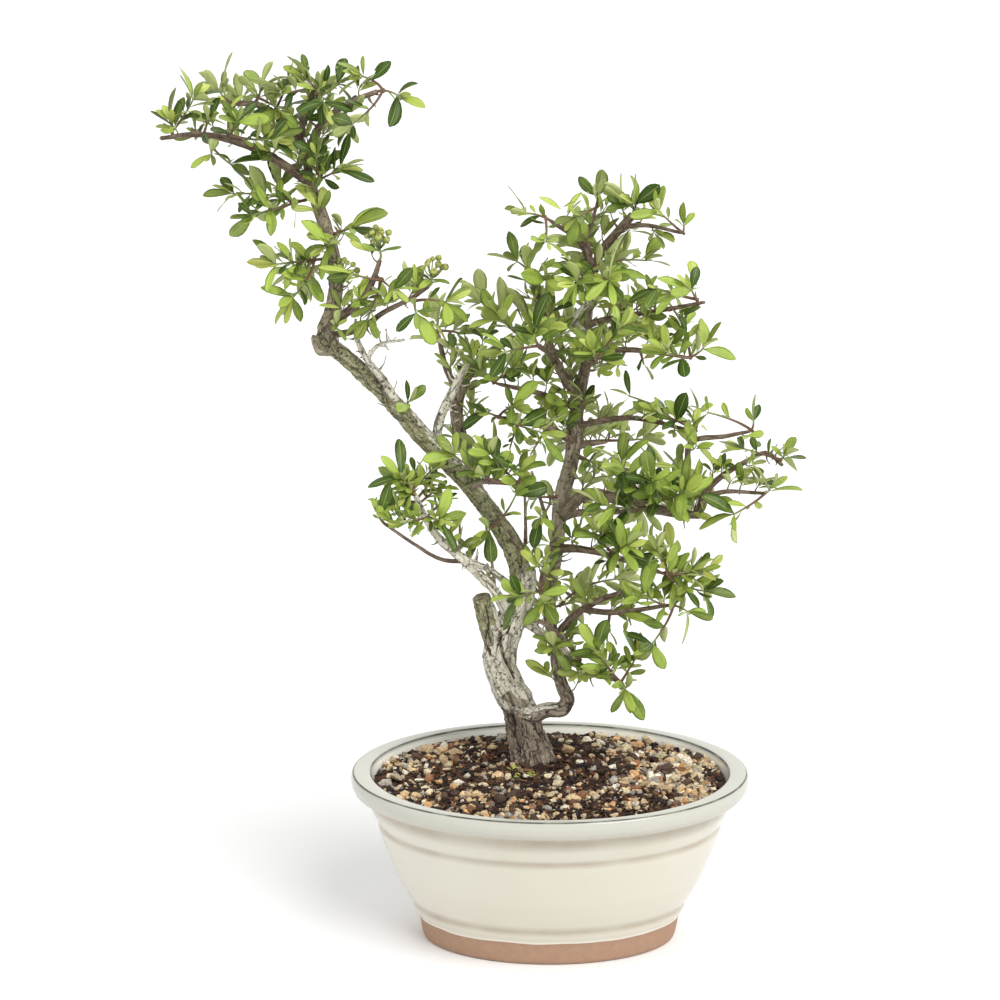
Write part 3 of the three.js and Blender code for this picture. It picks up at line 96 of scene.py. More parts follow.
# Limbs of the tree: (x, y, z, radius) along each middle line, starting inside the limb that carries it.
LIMBS = {
    "trunk": [(-9, 18, 87, 8), (-9, 18, 98, 13.5), (-11, 18, 111, 14.4), (-12.5, 18, 119, 12.4),
        (-14.5, 17, 128, 11.4), (-17, 15, 141, 11.2), (-29, 9, 169, 10), (-33, 6, 182, 9.8),
        (-31, 3, 197, 9.8), (-24, 2, 212, 9), (-17, 0, 230, 7.7), (-17, -1, 244, 7.4)],
    "cut_stub": [(-30, 4, 187, 8), (-36, 1, 203, 7.6), (-41, -2, 217, 6.2), (-44, -4, 228, 5.2)],
    "leaning_limb": [(-17, 0, 230, 7.2), (-23, -2, 258, 6.8), (-33, -4, 275, 6.2), (-58, -8, 308, 6.2),
        (-81, -10, 333, 6.2), (-105, -13, 361, 5.8), (-127, -15, 383, 5.2), (-139, -16, 392, 5.4)],
    "upper_limb": [(-134, -16, 387, 5.2), (-139, -16, 399, 5), (-135, -15, 410, 4.4),
        (-132, -13, 430, 4.4), (-135, -9, 450, 4.2), (-143, -5, 474, 3.9), (-150, 0, 492, 3.4)],
    "crown_left": [(-149, 0, 488, 3), (-160, -6, 497, 2.9), (-185, -17, 512, 2.5), (-213, -28, 519, 1.8),
        (-234, -32, 517, 1.5)],
    "crown_top": [(-149, 1, 489, 3), (-150, 5, 503, 2.8), (-162, 12, 522, 2.4), (-183, 18, 534, 2),
        (-194, 20, 534, 1.6)],
    "crown_right": [(-150, 5, 502, 2.4), (-143, 4, 520, 2.1), (-121, -4, 537, 1.8), (-106, -8, 543, 1.5)],
    "crown_back": [(-149, 1, 490, 2.6), (-148, 16, 506, 2.2), (-145, 28, 514, 1.9), (-143, 38, 523, 1.5)],
    "crown_spire": [(-154, 8, 511, 2), (-151, 6, 528, 1.7), (-145, 2, 543, 1.2)],
    "berry_limb": [(-137, -16, 400, 3.4), (-129, -22, 408, 2.9), (-112, -32, 425, 2.3),
        (-107, -34, 436, 1.9), (-104, -35, 445, 1.5)],
    "berry_arm": [(-137, -16, 396, 2.4), (-120, -14, 399, 2), (-102, -25, 412, 1.7), (-83, -33, 423, 1.4),
        (-75, -35, 429, 1.3)],
    "snag": [(-94, -12, 349, 3), (-102, -20, 367, 2.3), (-116, -22, 387, 1.9), (-120, -20, 397, 1.7),
        (-120, -18, 407, 1.1)],
    "snag_fork": [(-113, -22, 383, 1.7), (-107, -26, 391, 1.3), (-90, -32, 396, 0.8)],
    "bleached_limb": [(-72, -9, 324, 3.4), (-69, -14, 343, 2.9), (-58, -14, 367, 2.4), (-52, -8, 377, 1.7)],
    "grey_limb": [(-44, -6, 292, 3.6), (-51, 4, 313, 3.8), (-59, 12, 345, 4), (-57, 13, 357, 3.8),
        (-44, 14, 376, 2.8), (-23, 8, 391, 1.8)],
    "grey_fork": [(-57, 13, 355, 2.6), (-65, 22, 367, 2.1), (-71, 36, 388, 1.4)],
    "low_left_limb": [(-26, 2, 212, 3.8), (-34, -6, 230, 3.2), (-54, -18, 254, 2.7), (-70, -26, 271, 2.4),
        (-80, -30, 289, 1.9), (-84, -34, 300, 1.5)],
    "low_left_twin": [(-20, 1, 228, 2.6), (-37, -8, 245, 2.1), (-57, -19, 257, 1.9)],
    "low_left_twig": [(-54, -18, 254, 1.6), (-67, -26, 257, 1.3), (-85, -37, 270, 1.1),
        (-102, -44, 284, 0.9)],
    "elbow_limb": [(-20, 12, 149, 7), (-11, 6, 147, 5.6), (-1, 2, 151, 4.6), (8, 0, 152, 4.6),
        (11.5, 1, 157.5, 4.2), (8, 3, 166, 3.7), (3, 9, 189, 3.5), (-1, 15, 224, 4.2), (4, 19, 255, 4.6),
        (7, 20, 285, 5), (13, 17, 311, 4.6), (16, 13, 344, 4), (22, 9, 377, 3.3), (23, 8, 414, 2.8),
        (25, 5, 440, 2.4)],
    "graft_limb": [(-26, 2, 216, 4.4), (-15, 0, 210, 3.6), (-7, -2, 204, 3), (4, 1, 197, 2.7),
        (12, 1, 187, 2.3)],
    "right_low_limb": [(4, 8, 186, 3), (11, 0, 185, 2.8), (26, -14, 181, 2.3), (42, -26, 179, 1.5)],
    "right_low_rise": [(3, 10, 197, 2.6), (14, 2, 212, 2.4), (33, -14, 229, 1.9), (44, -22, 235, 1.5)],
    "shelf_limb": [(7, 20, 275, 4.4), (23, 4, 292, 4), (49, -11, 290, 3.5), (75, -20, 286, 3.1),
        (92, -24, 285, 2.4)],
    "shelf_rise": [(79, -21, 286, 2.6), (83, -28, 319, 2), (84, -30, 331, 1.8), (106, -34, 337, 1.4),
        (119, -36, 340, 1)],
    "shelf_arm": [(89, -23, 285, 2.2), (96, -33, 304, 2), (119, -40, 323, 1.6), (130, -41, 328, 1.4),
        (140, -40, 320, 1.1)],
    "shelf_arm_low": [(95, -31, 299, 1.6), (105, -38, 303, 1.4), (128, -42, 303, 1)],
    "apex_limb": [(24, 6, 432, 2.7), (31, 4, 446, 2.8), (44, 1, 462, 2.7), (49, 0, 468, 2.6)],
    "apex_east_limb": [(44, 1, 461, 1.7), (57, -3, 462, 1.4), (78, -7, 458, 1)],
    "apex_west_limb": [(24, 6, 434, 2), (18, 2, 450, 1.8), (-1, -6, 465, 1.2)],
    "apex_spire": [(24, 5, 437, 2), (22, 2, 455, 1.6), (26, 0, 470, 1.1)],
    "stub_limb": [(16, 12, 353, 3.4), (0, 3, 383, 2.8), (-4, 2, 400, 2.6), (-12, 6, 428, 2.1)],
    "front_limb": [(2, 3, 379, 2.6), (-1, -14, 386, 2.3), (-5, -32, 390, 1.9), (-8, -48, 394, 1.5)],
    "dark_limb": [(16, 13, 345, 2.2), (-8, -4, 358, 1.7), (-32, -12, 365, 1.2)],
    "east_limb": [(23, 8, 399, 2.4), (36, 0, 404, 2), (67, -18, 412, 1.5), (92, -26, 418, 1)],
    "east_low_limb": [(22, 9, 382, 2.4), (51, -10, 386, 1.7), (81, -24, 384, 1)],
    "white_limb": [(23, 8, 392, 2.6), (14, -6, 403, 2.2), (30, -20, 425, 1.3)],
    "front_high_limb": [(21, 10, 367, 2.4), (22, -8, 375, 2), (26, -40, 384, 1.3)],
    "back_high_limb": [(22, 9, 384, 2.8), (26, 26, 385, 2.3), (36, 56, 387, 1.4)],
    "waist_west_limb": [(14, 15, 324, 2.8), (-7, -16, 340, 2), (-30, -28, 347, 1.3)],
    "waist_east_limb": [(15, 14, 334, 2.2), (51, -2, 342, 1.7), (86, -12, 336, 1.1)],
    "back_mid_limb": [(14, 16, 318, 3.2), (19, 34, 317, 2.6), (37, 66, 313, 1.5)],
    "back_low_limb": [(6, 20, 273, 3.4), (16, 36, 272, 2.8), (44, 58, 268, 1.9), (57, 60, 268, 1.4)],
    "cross_limb": [(-50, -7, 298, 2.4), (-46, -20, 305, 2.1), (-24, -36, 308, 1.5)],
    "skirt_limb": [(3, 18, 253, 3.2), (14, 4, 257, 2.7), (39, -22, 258, 2.1), (67, -34, 251, 1.4)],
    "skirt_limb_low": [(22, -5, 219, 2), (38, -18, 221, 1.9), (72, -34, 230, 1.2)],
    "front_low_limb": [(0, 16, 236, 3), (-3, 0, 245, 2.5), (-7, -30, 240, 1.7)],
    "curved_twig": [(-24, 2, 208, 1.8), (-7, -10, 213, 1.5), (4, -16, 207, 1.4), (19, -16, 189, 1.2)],
}
KNOBS = {"elbow_knob": [(-136, -17, 388, 4.2), (-141, -19, 388, 4), (-146, -20, 396, 2.2)]}
ROOTS = {
    "root_left": [(-14, 18, 106, 7), (-36, 22, 94, 4), (-62, 12, 64, 1.5)],
    "root_right": [(-4, 18, 104, 7), (22, 22, 92, 4), (54, 8, 62, 1.5)],
    "root_front": [(-8, 12, 104, 7), (-16, -14, 90, 4), (-20, -38, 60, 1.5)],
    "root_deep": [(-9, 20, 96, 8), (-4, 32, 74, 4.4), (8, 42, 48, 1.8)],
}
SPRAYS = {
    "crown_west": ("crown_left", [(-227, -34, 528), (-214, -28, 540)]),
    "crown_west_low": ("crown_left", [(-203, -38, 508), (-194, -16, 500)]),
    "crown_west_high": ("crown_top", [(-204, 17, 542), (-195, 34, 529)]),
    "crown_mid": ("crown_left", [(-188, -32, 527), (-168, -28, 516)]),
    "crown_mid_high": ("crown_top", [(-178, 24, 545), (-166, 0, 532)]),
    "crown_spire": ("crown_spire", [(-150, 2, 550), (-163, -10, 542), (-130, 8, 547), (-138, -16, 537)]),
    "crown_back": ("crown_back", [(-144, 42, 537), (-160, 46, 520), (-130, 50, 523)]),
    "crown_east": ("crown_right", [(-93, -12, 541), (-115, -4, 552), (-121, -18, 524)]),
    "crown_under": ("upper_limb", [(-128, -10, 497), (-142, -20, 507)]),
    "west_bough": ("upper_limb", [(-182, -22, 470), (-194, -10, 482), (-168, 12, 484)]),
    "trio_bough": ("upper_limb", [(-122, -14, 462), (-136, -24, 452)]),
    "west_low_bough": ("upper_limb", [(-168, -26, 441), (-158, -24, 420), (-157, 14, 430)]),
    "berry_bough": ("berry_limb", [(-95, -46, 428), (-120, -46, 438), (-112, -34, 408)]),
    "berry_arm_bough": ("berry_arm", [(-82, -51, 415), (-64, -46, 421)]),
    "limb_trio": ("leaning_limb", [(-88, -24, 356)]),
    "grey_bough": ("grey_fork", [(-71, 42, 398), (-54, 28, 390)]),
    "grey_bough_high": ("grey_limb", [(-14, 8, 402), (-44, 18, 412), (-32, -10, 406)]),
    "rosette_bough": ("front_limb", [(-12, -60, 404), (-29, -54, 392)]),
    "shade_bough": ("dark_limb", [(-45, -14, 374), (-24, -28, 378)]),
    "stub_bough": ("stub_limb", [(-22, 14, 438), (-4, -14, 430)]),
    "apex_west": ("apex_west_limb", [(-17, -6, 470), (-4, -22, 454)]),
    "apex_spire": ("apex_spire", [(28, 2, 480), (14, -14, 468)]),
    "apex_head": ("apex_limb", [(50, -6, 476), (44, 16, 474)]),
    "apex_east": ("apex_east_limb", [(80, -8, 463), (64, -12, 472)]),
    "apex_back": ("elbow_limb", [(36, 42, 434), (14, 36, 450)]),
    "apex_front": ("elbow_limb", [(14, -34, 430), (34, -30, 432), (58, 0, 440)]),
    "east_twig_bough": ("east_limb", [(83, -34, 427), (62, -36, 428)]),
    "east_low_bough": ("east_low_limb", [(92, -26, 390), (68, -42, 390), (80, -6, 400)]),
    "east_back": ("back_high_limb", [(62, 50, 409), (52, 66, 389)]),
    "centre_front": ("front_high_limb", [(24, -52, 392), (40, -46, 406)]),
    "centre_back": ("back_high_limb", [(2, 56, 396), (22, 70, 378)]),
    "waist_west": ("waist_west_limb", [(-40, -24, 350), (-24, -38, 356), (-6, -50, 342)]),
    "waist_east": ("waist_east_limb", [(90, -14, 348), (64, -22, 350), (48, -2, 356)]),
    "waist_back": ("back_mid_limb", [(40, 76, 322), (62, 66, 315), (8, 68, 312)]),
    "shelf_rise_bough": ("shelf_rise", [(122, -38, 348), (94, -36, 352)]),
    "shelf_arm_bough": ("shelf_arm", [(140, -45, 326), (115, -48, 332)]),
    "shelf_arm_low_bough": ("shelf_arm_low", [(132, -46, 306), (110, -48, 291)]),
    "shelf_front": ("shelf_limb", [(60, -46, 312), (42, -44, 323), (29, -40, 296), (80, -50, 306)]),
    "shelf_back": ("back_low_limb", [(72, 62, 276), (62, 78, 264), (84, 44, 286)]),
    "west_shelf": ("cross_limb", [(-20, -46, 318), (-38, -42, 328), (-60, -38, 326)]),
    "west_pad": ("low_left_limb", [(-93, -40, 313), (-74, -26, 314)]),
    "west_pad_low": ("low_left_limb", [(-68, -45, 287), (-92, -54, 287)]),
    "west_twig_bough": ("low_left_twig", [(-106, -48, 291)]),
    "skirt_front": ("skirt_limb", [(30, -36, 276), (46, -52, 273)]),
    "skirt_east": ("skirt_limb", [(86, -40, 254), (64, -48, 268), (95, -30, 238)]),
    "skirt_low": ("skirt_limb_low", [(84, -42, 228), (56, -46, 240), (62, -38, 206)]),
    "lap_bough": ("front_low_limb", [(-5, -46, 234), (-20, -38, 237)]),
    "lap_leaves": ("graft_limb", [(2, -18, 198)]),
    "hem_bough": ("right_low_limb", [(46, -36, 176), (54, -28, 196), (28, -36, 202)]),
    "hem_back": ("elbow_limb", [(24, 48, 212), (48, 54, 224)]),
    "neck_west": ("leaning_limb", [(-39, -15, 273), (-22, -14, 296)]),
    "neck_mid": ("elbow_limb", [(-14, 4, 290), (-7, -10, 280)]),
}

# How weathered each limb is: bleached share, lichen share, and how much of its bark is young and brown
WEATHER = {
    "trunk": (0.66, 0.25, 0), "cut_stub": (0.3, 0.6, 0), "leaning_limb": (0.26, 0.68, 0),
    "upper_limb": (0.2, 0.5, 0.4), "snag": (0.7, 0.15, 0), "snag_fork": (0.7, 0.1, 0),
    "bleached_limb": (1.0, 0.1, 0), "grey_limb": (0.3, 0.3, 0.2), "grey_fork": (0.15, 0.1, 0.6),
    "low_left_limb": (0.85, 0.15, 0), "low_left_twin": (0.75, 0.1, 0), "low_left_twig": (0.1, 0, 0.8),
    "graft_limb": (0.5, 0.35, 0), "curved_twig": (0.1, 0.1, 0.7), "elbow_limb": (0.38, 0.38, 0),
    "white_limb": (0.85, 0, 0), "stub_limb": (0.1, 0.15, 0.5), "shelf_limb": (0.15, 0.2, 0.7),
    "cross_limb": (0.2, 0.1, 0.6), "elbow_knob": (-0.2, 0.5, 0),
}
YOUNG_BARK = (0.05, 0.1, 1)
# Limbs whose skin is slimmer than the packed model's
SLIMMED = {"graft_limb": 0.84, "leaning_limb": 0.92}
# Limbs that carry thorns and short dead twigs, and how many
THORNY_LIMBS = {
    "leaning_limb": 26, "upper_limb": 16, "snag": 12, "snag_fork": 6, "bleached_limb": 12,
    "grey_limb": 10, "elbow_limb": 14, "shelf_limb": 9, "low_left_limb": 9, "low_left_twin": 5,
    "berry_arm": 5, "berry_limb": 4, "crown_left": 6, "crown_right": 4, "right_low_limb": 6,
    "stub_limb": 5, "apex_limb": 3, "shelf_arm": 5, "east_limb": 4, "graft_limb": 4,
}

# Berry clusters: the limb, the dome's middle, and how many berries
BERRY_CLUSTERS = {
    "berries_high": ("berry_limb", (-104, -38, 459), 12),
    "berries_arm": ("berry_arm", (-71, -40, 441), 9),
    "berries_limb": ("upper_limb", (-124, -28, 437), 9),
}
CLUSTER_RADIUS = 7
BERRY_RADIUS = 2.5

# Parts of the crown, for the pieces that hold the leaves and twigs
CROWN_PARTS = {
    "upper_crown": [name for name in SPRAYS if name.startswith("crown_")],
    "neck": ["west_bough", "trio_bough", "west_low_bough", "berry_bough", "berry_arm_bough", "limb_trio",
        "grey_bough", "neck_west", "neck_mid"],
    "apex": [name for name in SPRAYS if name.startswith("apex_")] + ["stub_bough"],
    "middle": ["grey_bough_high", "rosette_bough", "shade_bough", "east_twig_bough", "east_low_bough",
        "east_back", "centre_front", "centre_back"],
    "waist": ["waist_west", "waist_east", "waist_back", "west_shelf"],
    "shelf": [name for name in SPRAYS if name.startswith("shelf_")],
    "skirt": ["west_pad", "west_pad_low", "west_twig_bough", "skirt_front", "skirt_east", "skirt_low",
        "lap_bough", "lap_leaves", "hem_bough", "hem_back"],
}

# The rule by which twigs and leaves grow, as in the part's own source
TWIG_RADIUS = 1.15
TWIG_LENGTH_PER_STATION = 52
STATION_HALF_HEIGHT = 0.5
LOWEST_STATION = 0.3
LOWEST_STATION_PAST_FORKS = 0.5
FORK_SHARE = 0.27
FORK_HALF_HEIGHT = 0.85
LEAF_WIDTH_RATIO = 0.42
LEAF_DROOP = 0.16
UPWARD_LEAN = 0.22
FOOT_HOLD = 0.75
GAP = 0.35
SIDE_LEAF_TILT = 50
TILT_PER_STATION = 6
# Clearances to other sprays' leaves, to a spray's own, and to bark: first the main leaves', then the rest's
MAIN_CLEARANCES = (4.4, 3.8, 1.5)
FILL_CLEARANCES = (1.6, 1.2, 0.4)
SHOOT_CLEARANCES = (1.5, 1.5, 0.6)
# Ways of growing that a leaf tries in turn: more tilt and more swing in degrees, and its size
GROWING_WAYS = [(0, 0, 1), (8, 16, 1), (-4, -16, 1), (10, -28, 0.9), (4, 28, 0.85), (14, 8, 0.8)]
# Sample points of a leaf, (along, across), by which leaves keep clear of each other
LEAF_SAMPLES = [
    (0.3, 0), (0.55, 0), (0.8, 0), (0.98, 0), (0.5, -0.85), (0.5, 0.85), (0.8, -0.85), (0.8, 0.85),
]
LEAF_REACH = 40
# How many leaves there may be at most
LEAF_ROOM = 4000
# The golden angle in quarter turns, as a twig's sides are counted
GOLDEN_SIDES = GOLDEN_ANGLE / (math.pi / 2)
# Limbs thicker than this carry no shoots
THICKEST_WITH_SHOOTS = 4.2

# The screen levels of the grit, each after its share: stones, then bark and peat chips
GRAVEL_TONES = [
    (26, 222, 194, 150), (22, 238, 222, 186), (15, 176, 170, 160), (7, 226, 178, 124), (5, 160, 112, 78),
    (10, 250, 242, 222), (16, 92, 70, 54), (6, 236, 204, 158), (0.4, 70, 140, 120), (0.4, 228, 160, 60),
]
CHIP_TONES = [(7, 206, 186, 154), (28, 56, 38, 26), (26, 80, 52, 34), (12, 108, 66, 42), (10, 132, 98, 66),
    (24, 34, 24, 18)]
# Where the trunk stands in the soil: x, y and radius
TRUNK_FOOT = (-11, 18, 15.5)
# Clumps of seedlings: x, y, and how many leaves
SEEDLINGS = [(-22, -3, 5), (-17, -9, 6), (-12, -14, 7), (-24, -14, 4), (74, 24, 4), (30, 4, 3)]

# Limbs at least this thick are melted into the trunk's skin
STOUT_RADIUS = 3.0
# The step along a stout limb's curve
WOOD_STEP = 1.6

# Scars on the trunk's front: how far raised, more bleached, less deep, half width, and the line (x, z)
TRUNK_SCARS = [
    (1.7, 0.35, 0.3, 1.5, [(-41, 187), (-34, 186), (-30, 182), (-27, 175), (-23, 169), (-18, 165),
        (-12, 158)]),
    (1.4, 0.35, 0.3, 1.4, [(-40, 182), (-38, 173), (-33, 165), (-31, 161)]),
    (-1.7, -0.7, -0.8, 1.0, [(-41, 205), (-42, 196), (-38, 189)]),
    (-1.5, -0.7, -0.8, 0.9, [(-31, 209), (-32, 200), (-30, 189), (-26, 179), (-23, 172)]),
    (1.3, 0.45, 0.2, 1.5, [(-37, 209), (-34, 200), (-35, 191)]),
    (1.2, 0.5, 0.2, 1.8, [(-19, 212), (-22, 195), (-24, 183)]),
    (-1.6, -0.6, -0.9, 1.2, [(-24, 147), (-22, 138), (-23, 130)]),
    (-1.3, -0.7, -0.6, 1.5, [(-26, 163), (-24, 155)]),
    (-1.3, 0.0, -0.9, 0.8, [(-41, 223), (-39, 213), (-40, 205), (-38, 197)]),
    (-1.1, 0.0, -0.8, 0.9, [(-12, 144), (-8, 134), (-3, 124)]),
    (-1.0, 0.0, -0.7, 0.8, [(-18, 144), (-18, 131), (-19, 117)]),
    (0.2, -0.6, -0.2, 2.2, [(-29, 160), (-16, 155)]),
    (-0.5, 0.3, 0.0, 3.2, [(-34, 180), (-27, 168)]),
    (0.6, 0.5, 0.2, 1.3, [(-36, 222), (-33, 210), (-27, 200), (-26, 190)]),
    (-1.0, -0.6, -0.9, 0.8, [(-16, 208), (-19, 196), (-17, 184), (-20, 176)]),
    (-0.8, -0.6, -0.9, 0.7, [(-28, 219), (-26, 208), (-30, 200)]),
]

# Sprigs that only the fine model has: the spray they belong to, their limb and their ends
SPRIGS = [
    ("crown_west", "crown_left", [(-205, -30, 529), (-196, -6, 533)]),
    ("crown_spire", "crown_top", [(-158, 8, 553)]),
    ("waist_west", "waist_west_limb", [(-26, -24, 327), (-13, -12, 321)]),
    ("west_pad", "low_left_limb", [(-88, -28, 300), (-76, -22, 304)]),
    ("east_low_bough", "east_low_limb", [(40, -16, 376), (57, -4, 376)]),
    ("skirt_front", "skirt_limb", [(62, -34, 268)]),
    ("skirt_east", "skirt_limb", [(74, -26, 264), (98, -26, 252)]),
    ("skirt_low", "skirt_limb_low", [(35, -22, 204), (50, -22, 214)]),
    ("waist_back", "elbow_limb", [(28, -6, 313), (38, 4, 310)]),
    ("west_pad", "low_left_limb", [(-98, -26, 312), (-84, -14, 312), (-103, -36, 298), (-90, -40, 300),
        (-79, -34, 293)]),
    ("west_pad_low", "low_left_limb", [(-66, -16, 294), (-99, -20, 285), (-84, -26, 282), (-72, -36, 279),
        (-106, -24, 290)]),
    ("west_pad", "low_left_limb", [(-92, -22, 306), (-70, -22, 302)]),
]
# How densely fill leaves stand on some sprays, and how large all their leaves are
SPRAY_FILLS = {
    "crown_east": (0.4, 0.85), "crown_west_low": (0.5, 0.85), "berry_arm_bough": (0.6, 0.9),
    "berry_bough": (0.5, 0.9), "neck_mid": (0.4, 0.8), "neck_west": (0.3, 0.7),
    "shelf_arm_bough": (0.5, 0.85), "shelf_arm_low_bough": (0.5, 0.85), "shelf_rise_bough": (0.5, 0.85),
    "waist_east": (0.5, 0.8), "west_pad": (2.4, 0.74), "west_pad_low": (2, 0.72), "west_twig_bough": (1, 0.7),
    "waist_west": (1, 0.75), "east_twig_bough": (0.6, 0.9), "apex_east": (0.6, 0.85),
    "apex_west": (0.7, 0.85), "skirt_low": (0.8, 0.85), "limb_trio": (0.6, 0.9), "crown_west": (1, 0.92),
    "crown_spire": (1, 0.92), "apex_spire": (0.8, 0.8),
}
# Gaps in the crown as seen from the front, where no fill leaf hangs: middle (x, z) and radius
CLEARINGS = [
    (-114, 523, 12), (-176, 561, 10), (-113, 561, 9), (-244, 535, 9), (-199, 498, 11), (-212, 483, 9),
    (-122, 471, 10), (-118, 439, 9), (-91, 404, 12), (-26, 439, 9), (-29, 462, 8), (5, 470, 7),
    (33, 487, 6), (69, 433, 12), (91, 422, 8), (81, 470, 8), (99, 394, 8), (46, 359, 11), (71, 361, 12),
    (92, 356, 10), (100, 344, 9), (121, 345, 14), (140, 334, 11), (-40, 297, 9), (-29, 289, 9),
    (-117, 302, 10), (-123, 286, 9), (-98, 263, 11), (-76, 260, 12), (89, 214, 11), (73, 201, 11),
    (6, 216, 6), (-35, 353, 9), (-76, 350, 9), (115, 318, 6), (106, 276, 9),
]

# Bare upright twigs among the lower limbs: their line, and how brown they are
BARE_TWIGS = [
    ([(-58, -20, 256, 1.1), (-57, -23, 268, 0.9), (-57, -26, 284, 0.6)], 0.3),
    ([(-35, -4, 230, 1.2), (-37, -8, 250, 1.0), (-41, -10, 276, 0.7)], 0.3),
    ([(-18, -4, 256, 1.3), (-24, -12, 268, 1.0), (-32, -16, 283, 0.6)], 0.6),
    ([(-16, -2, 262, 1.4), (-16, -6, 276, 1.1), (-17, -8, 303, 0.7)], 0.7),
    ([(-2, 14, 272, 1.5), (-6, 10, 286, 1.2), (-12, 6, 306, 0.8)], 0.7),
]

CAMERA_PLACE = (-32, -1500, 630)
# Soft far lamps: name, where from, how wide in degrees, strength
LAMPS = [
    ("key_lamp", (750, -900, 1150), 40, 2.2), ("fill_lamp", (-1100, -500, 700), 60, 0.5),
    ("back_lamp", (200, 1100, 800), 60, 0.5),
]


def vec(*numbers):
    """Numbers as a vector."""
    return np.array(numbers, float)


def unit(v):
    """A vector divided by its length."""
    return v / math.sqrt(v @ v)


def cross(a, b):
    """The vector at right angles to two others."""
    return vec(a[1] * b[2] - a[2] * b[1], a[2] * b[0] - a[0] * b[2], a[0] * b[1] - a[1] * b[0])


def to_frame(places):
    """Millimetres from the middle of the pot's foot, as metres in the frame."""
    return np.asarray(places) * 0.001 + POT_MIDDLE


# How twigs and leaves grow, by the same rule as in the solids
def random_stream(name):
    """A repeatable stream of numbers from 0 to 1: a name is folded into a seed, which steps on and is
    mixed."""
    whole = 0xFFFFFFFF
    state = 7
    for letter in name:
        state = (state * 31 + ord(letter)) & whole

    def draw():
        nonlocal state
        state = (state + 0x6D2B79F5) & whole
        mixed = ((state ^ (state >> 15)) * (state | 1)) & whole
        mixed ^= (mixed + (((mixed ^ (mixed >> 7)) * (mixed | 61)) & whole)) & whole
        return (mixed ^ (mixed >> 14)) / 4294967296

    return draw


def carried(direction, start, end):
    """A direction turned by the shortest turn from one heading to another."""
    axis = cross(start, end)
    w = 1 + start @ end
    size = math.sqrt(axis @ axis + w * w)
    axis, w = axis / size, w / size
    twice = 2 * cross(axis, direction)
    return direction + w * twice + cross(axis, twice)


class Twig:
    """A curve with one bend, from its start, first along `out`, to its end."""

    def __init__(self, start, out, end, across):
        self.start, self.out, self.end, self.across = start, out, end, across
        self.length = math.sqrt((end - start) @ (end - start))
        self.bend = start + out * (0.4 * self.length)
        self.forked_sides = []

    def along(self, share):
        """The place at a share of the way: (1-s)^2 start + 2s(1-s) bend + s^2 end."""
        rest = 1 - share
        return self.start * rest * rest + self.bend * 2 * share * rest + self.end * share * share

    def axes(self, share):
        """The heading, and the two directions of the section's corners."""
        way = unit((self.end - self.bend) * share + (self.bend - self.start) * (1 - share))
        across = carried(self.across, self.out, way)
        return way, across, cross(way, across)

    def side(self, share, side):
        """The heading, and the outward and sideways directions of a side; quarter turns count as one."""
        way, across, up = self.axes(share)
        turn = math.pi / 4 + math.pi / 2 * side
        out = across * math.cos(turn) + up * math.sin(turn)
        return way, out, cross(way, out)


def twig_radius(share):
    """A twig's radius, which falls evenly by three tenths from its foot to its end."""
    return TWIG_RADIUS * (1 - 0.3 * share)


def spring_from(path, target):
    """Where a twig leaves a limb towards a target, and its first heading: at the limb's nearest point, a gap
    clear of the bark."""
    nearest = math.inf
    for a, b in zip(path, path[1:]):
        foot, span = vec(*a[:3]), vec(*b[:3]) - vec(*a[:3])
        share = min(max((target - foot) @ span / (span @ span), 0), 1)
        out = target - foot - span * share
        if out @ out < nearest - 1e-9:
            nearest, offset, place, way = out @ out, out, foot + span * share, unit(span)
            radius, at_end = a[3] + (b[3] - a[3]) * share, b == path[-1] and share == 1
    if at_end:
        return place + way * GAP, way
    out = unit(offset - way * (offset @ way))
    return place + out * (radius + GAP), out


def add_fork(twig, end):
    """A fork leaves its twig by the free side that faces where it goes."""
    middle = twig.along(FORK_SHARE)
    wanted = unit(end - middle)
    free = [side for side in range(4) if side not in twig.forked_sides]
    side = max(free, key=lambda one: twig.side(FORK_SHARE, one)[1] @ wanted)
    twig.forked_sides.append(side)
    out = twig.side(FORK_SHARE, side)[1]
    start = middle + out * (twig_radius(FORK_SHARE) * math.sqrt(0.5))
    heading = unit(out * 0.8 + wanted)
    low = FORK_SHARE - FORK_HALF_HEIGHT / twig.length
    _, across, up = twig.axes(low)
    turn = math.pi / 2 * side
    corner = twig.along(low) + (across * math.cos(turn) + up * math.sin(turn)) * twig_radius(low) - start
    return Twig(start, heading, end, carried(unit(corner - out * (corner @ out)), out, heading))


def twigs_of(limb, ends, draw):
    """A spray's twigs: the first springs from its limb, and the rest fork from the first."""
    ends = [vec(*end) for end in ends]
    start, out = spring_from(LIMBS[limb], ends[0])
    level = vec(0, 0, 1) if abs(out[2]) < 0.95 else vec(1, 0, 0)
    across = unit(level - out * (level @ out))
    turn = 1.5 * draw()
    across = across * math.cos(turn) + cross(out, across) * math.sin(turn)
    first = Twig(start, out, ends[0], across)
    return [first] + [add_fork(first, end) for end in ends[1:]]


def leaf_stations(twig):
    """Where the main leaves stand on a twig: shares of its length, from its end down."""
    count = 1 + math.floor(twig.length / TWIG_LENGTH_PER_STATION + 0.5)
    lowest = LOWEST_STATION_PAST_FORKS if twig.forked_sides else LOWEST_STATION
    last = 1 - STATION_HALF_HEIGHT / twig.length
    return [last - (last - lowest) * k / (count - 0.4) if k else last for k in range(count)]


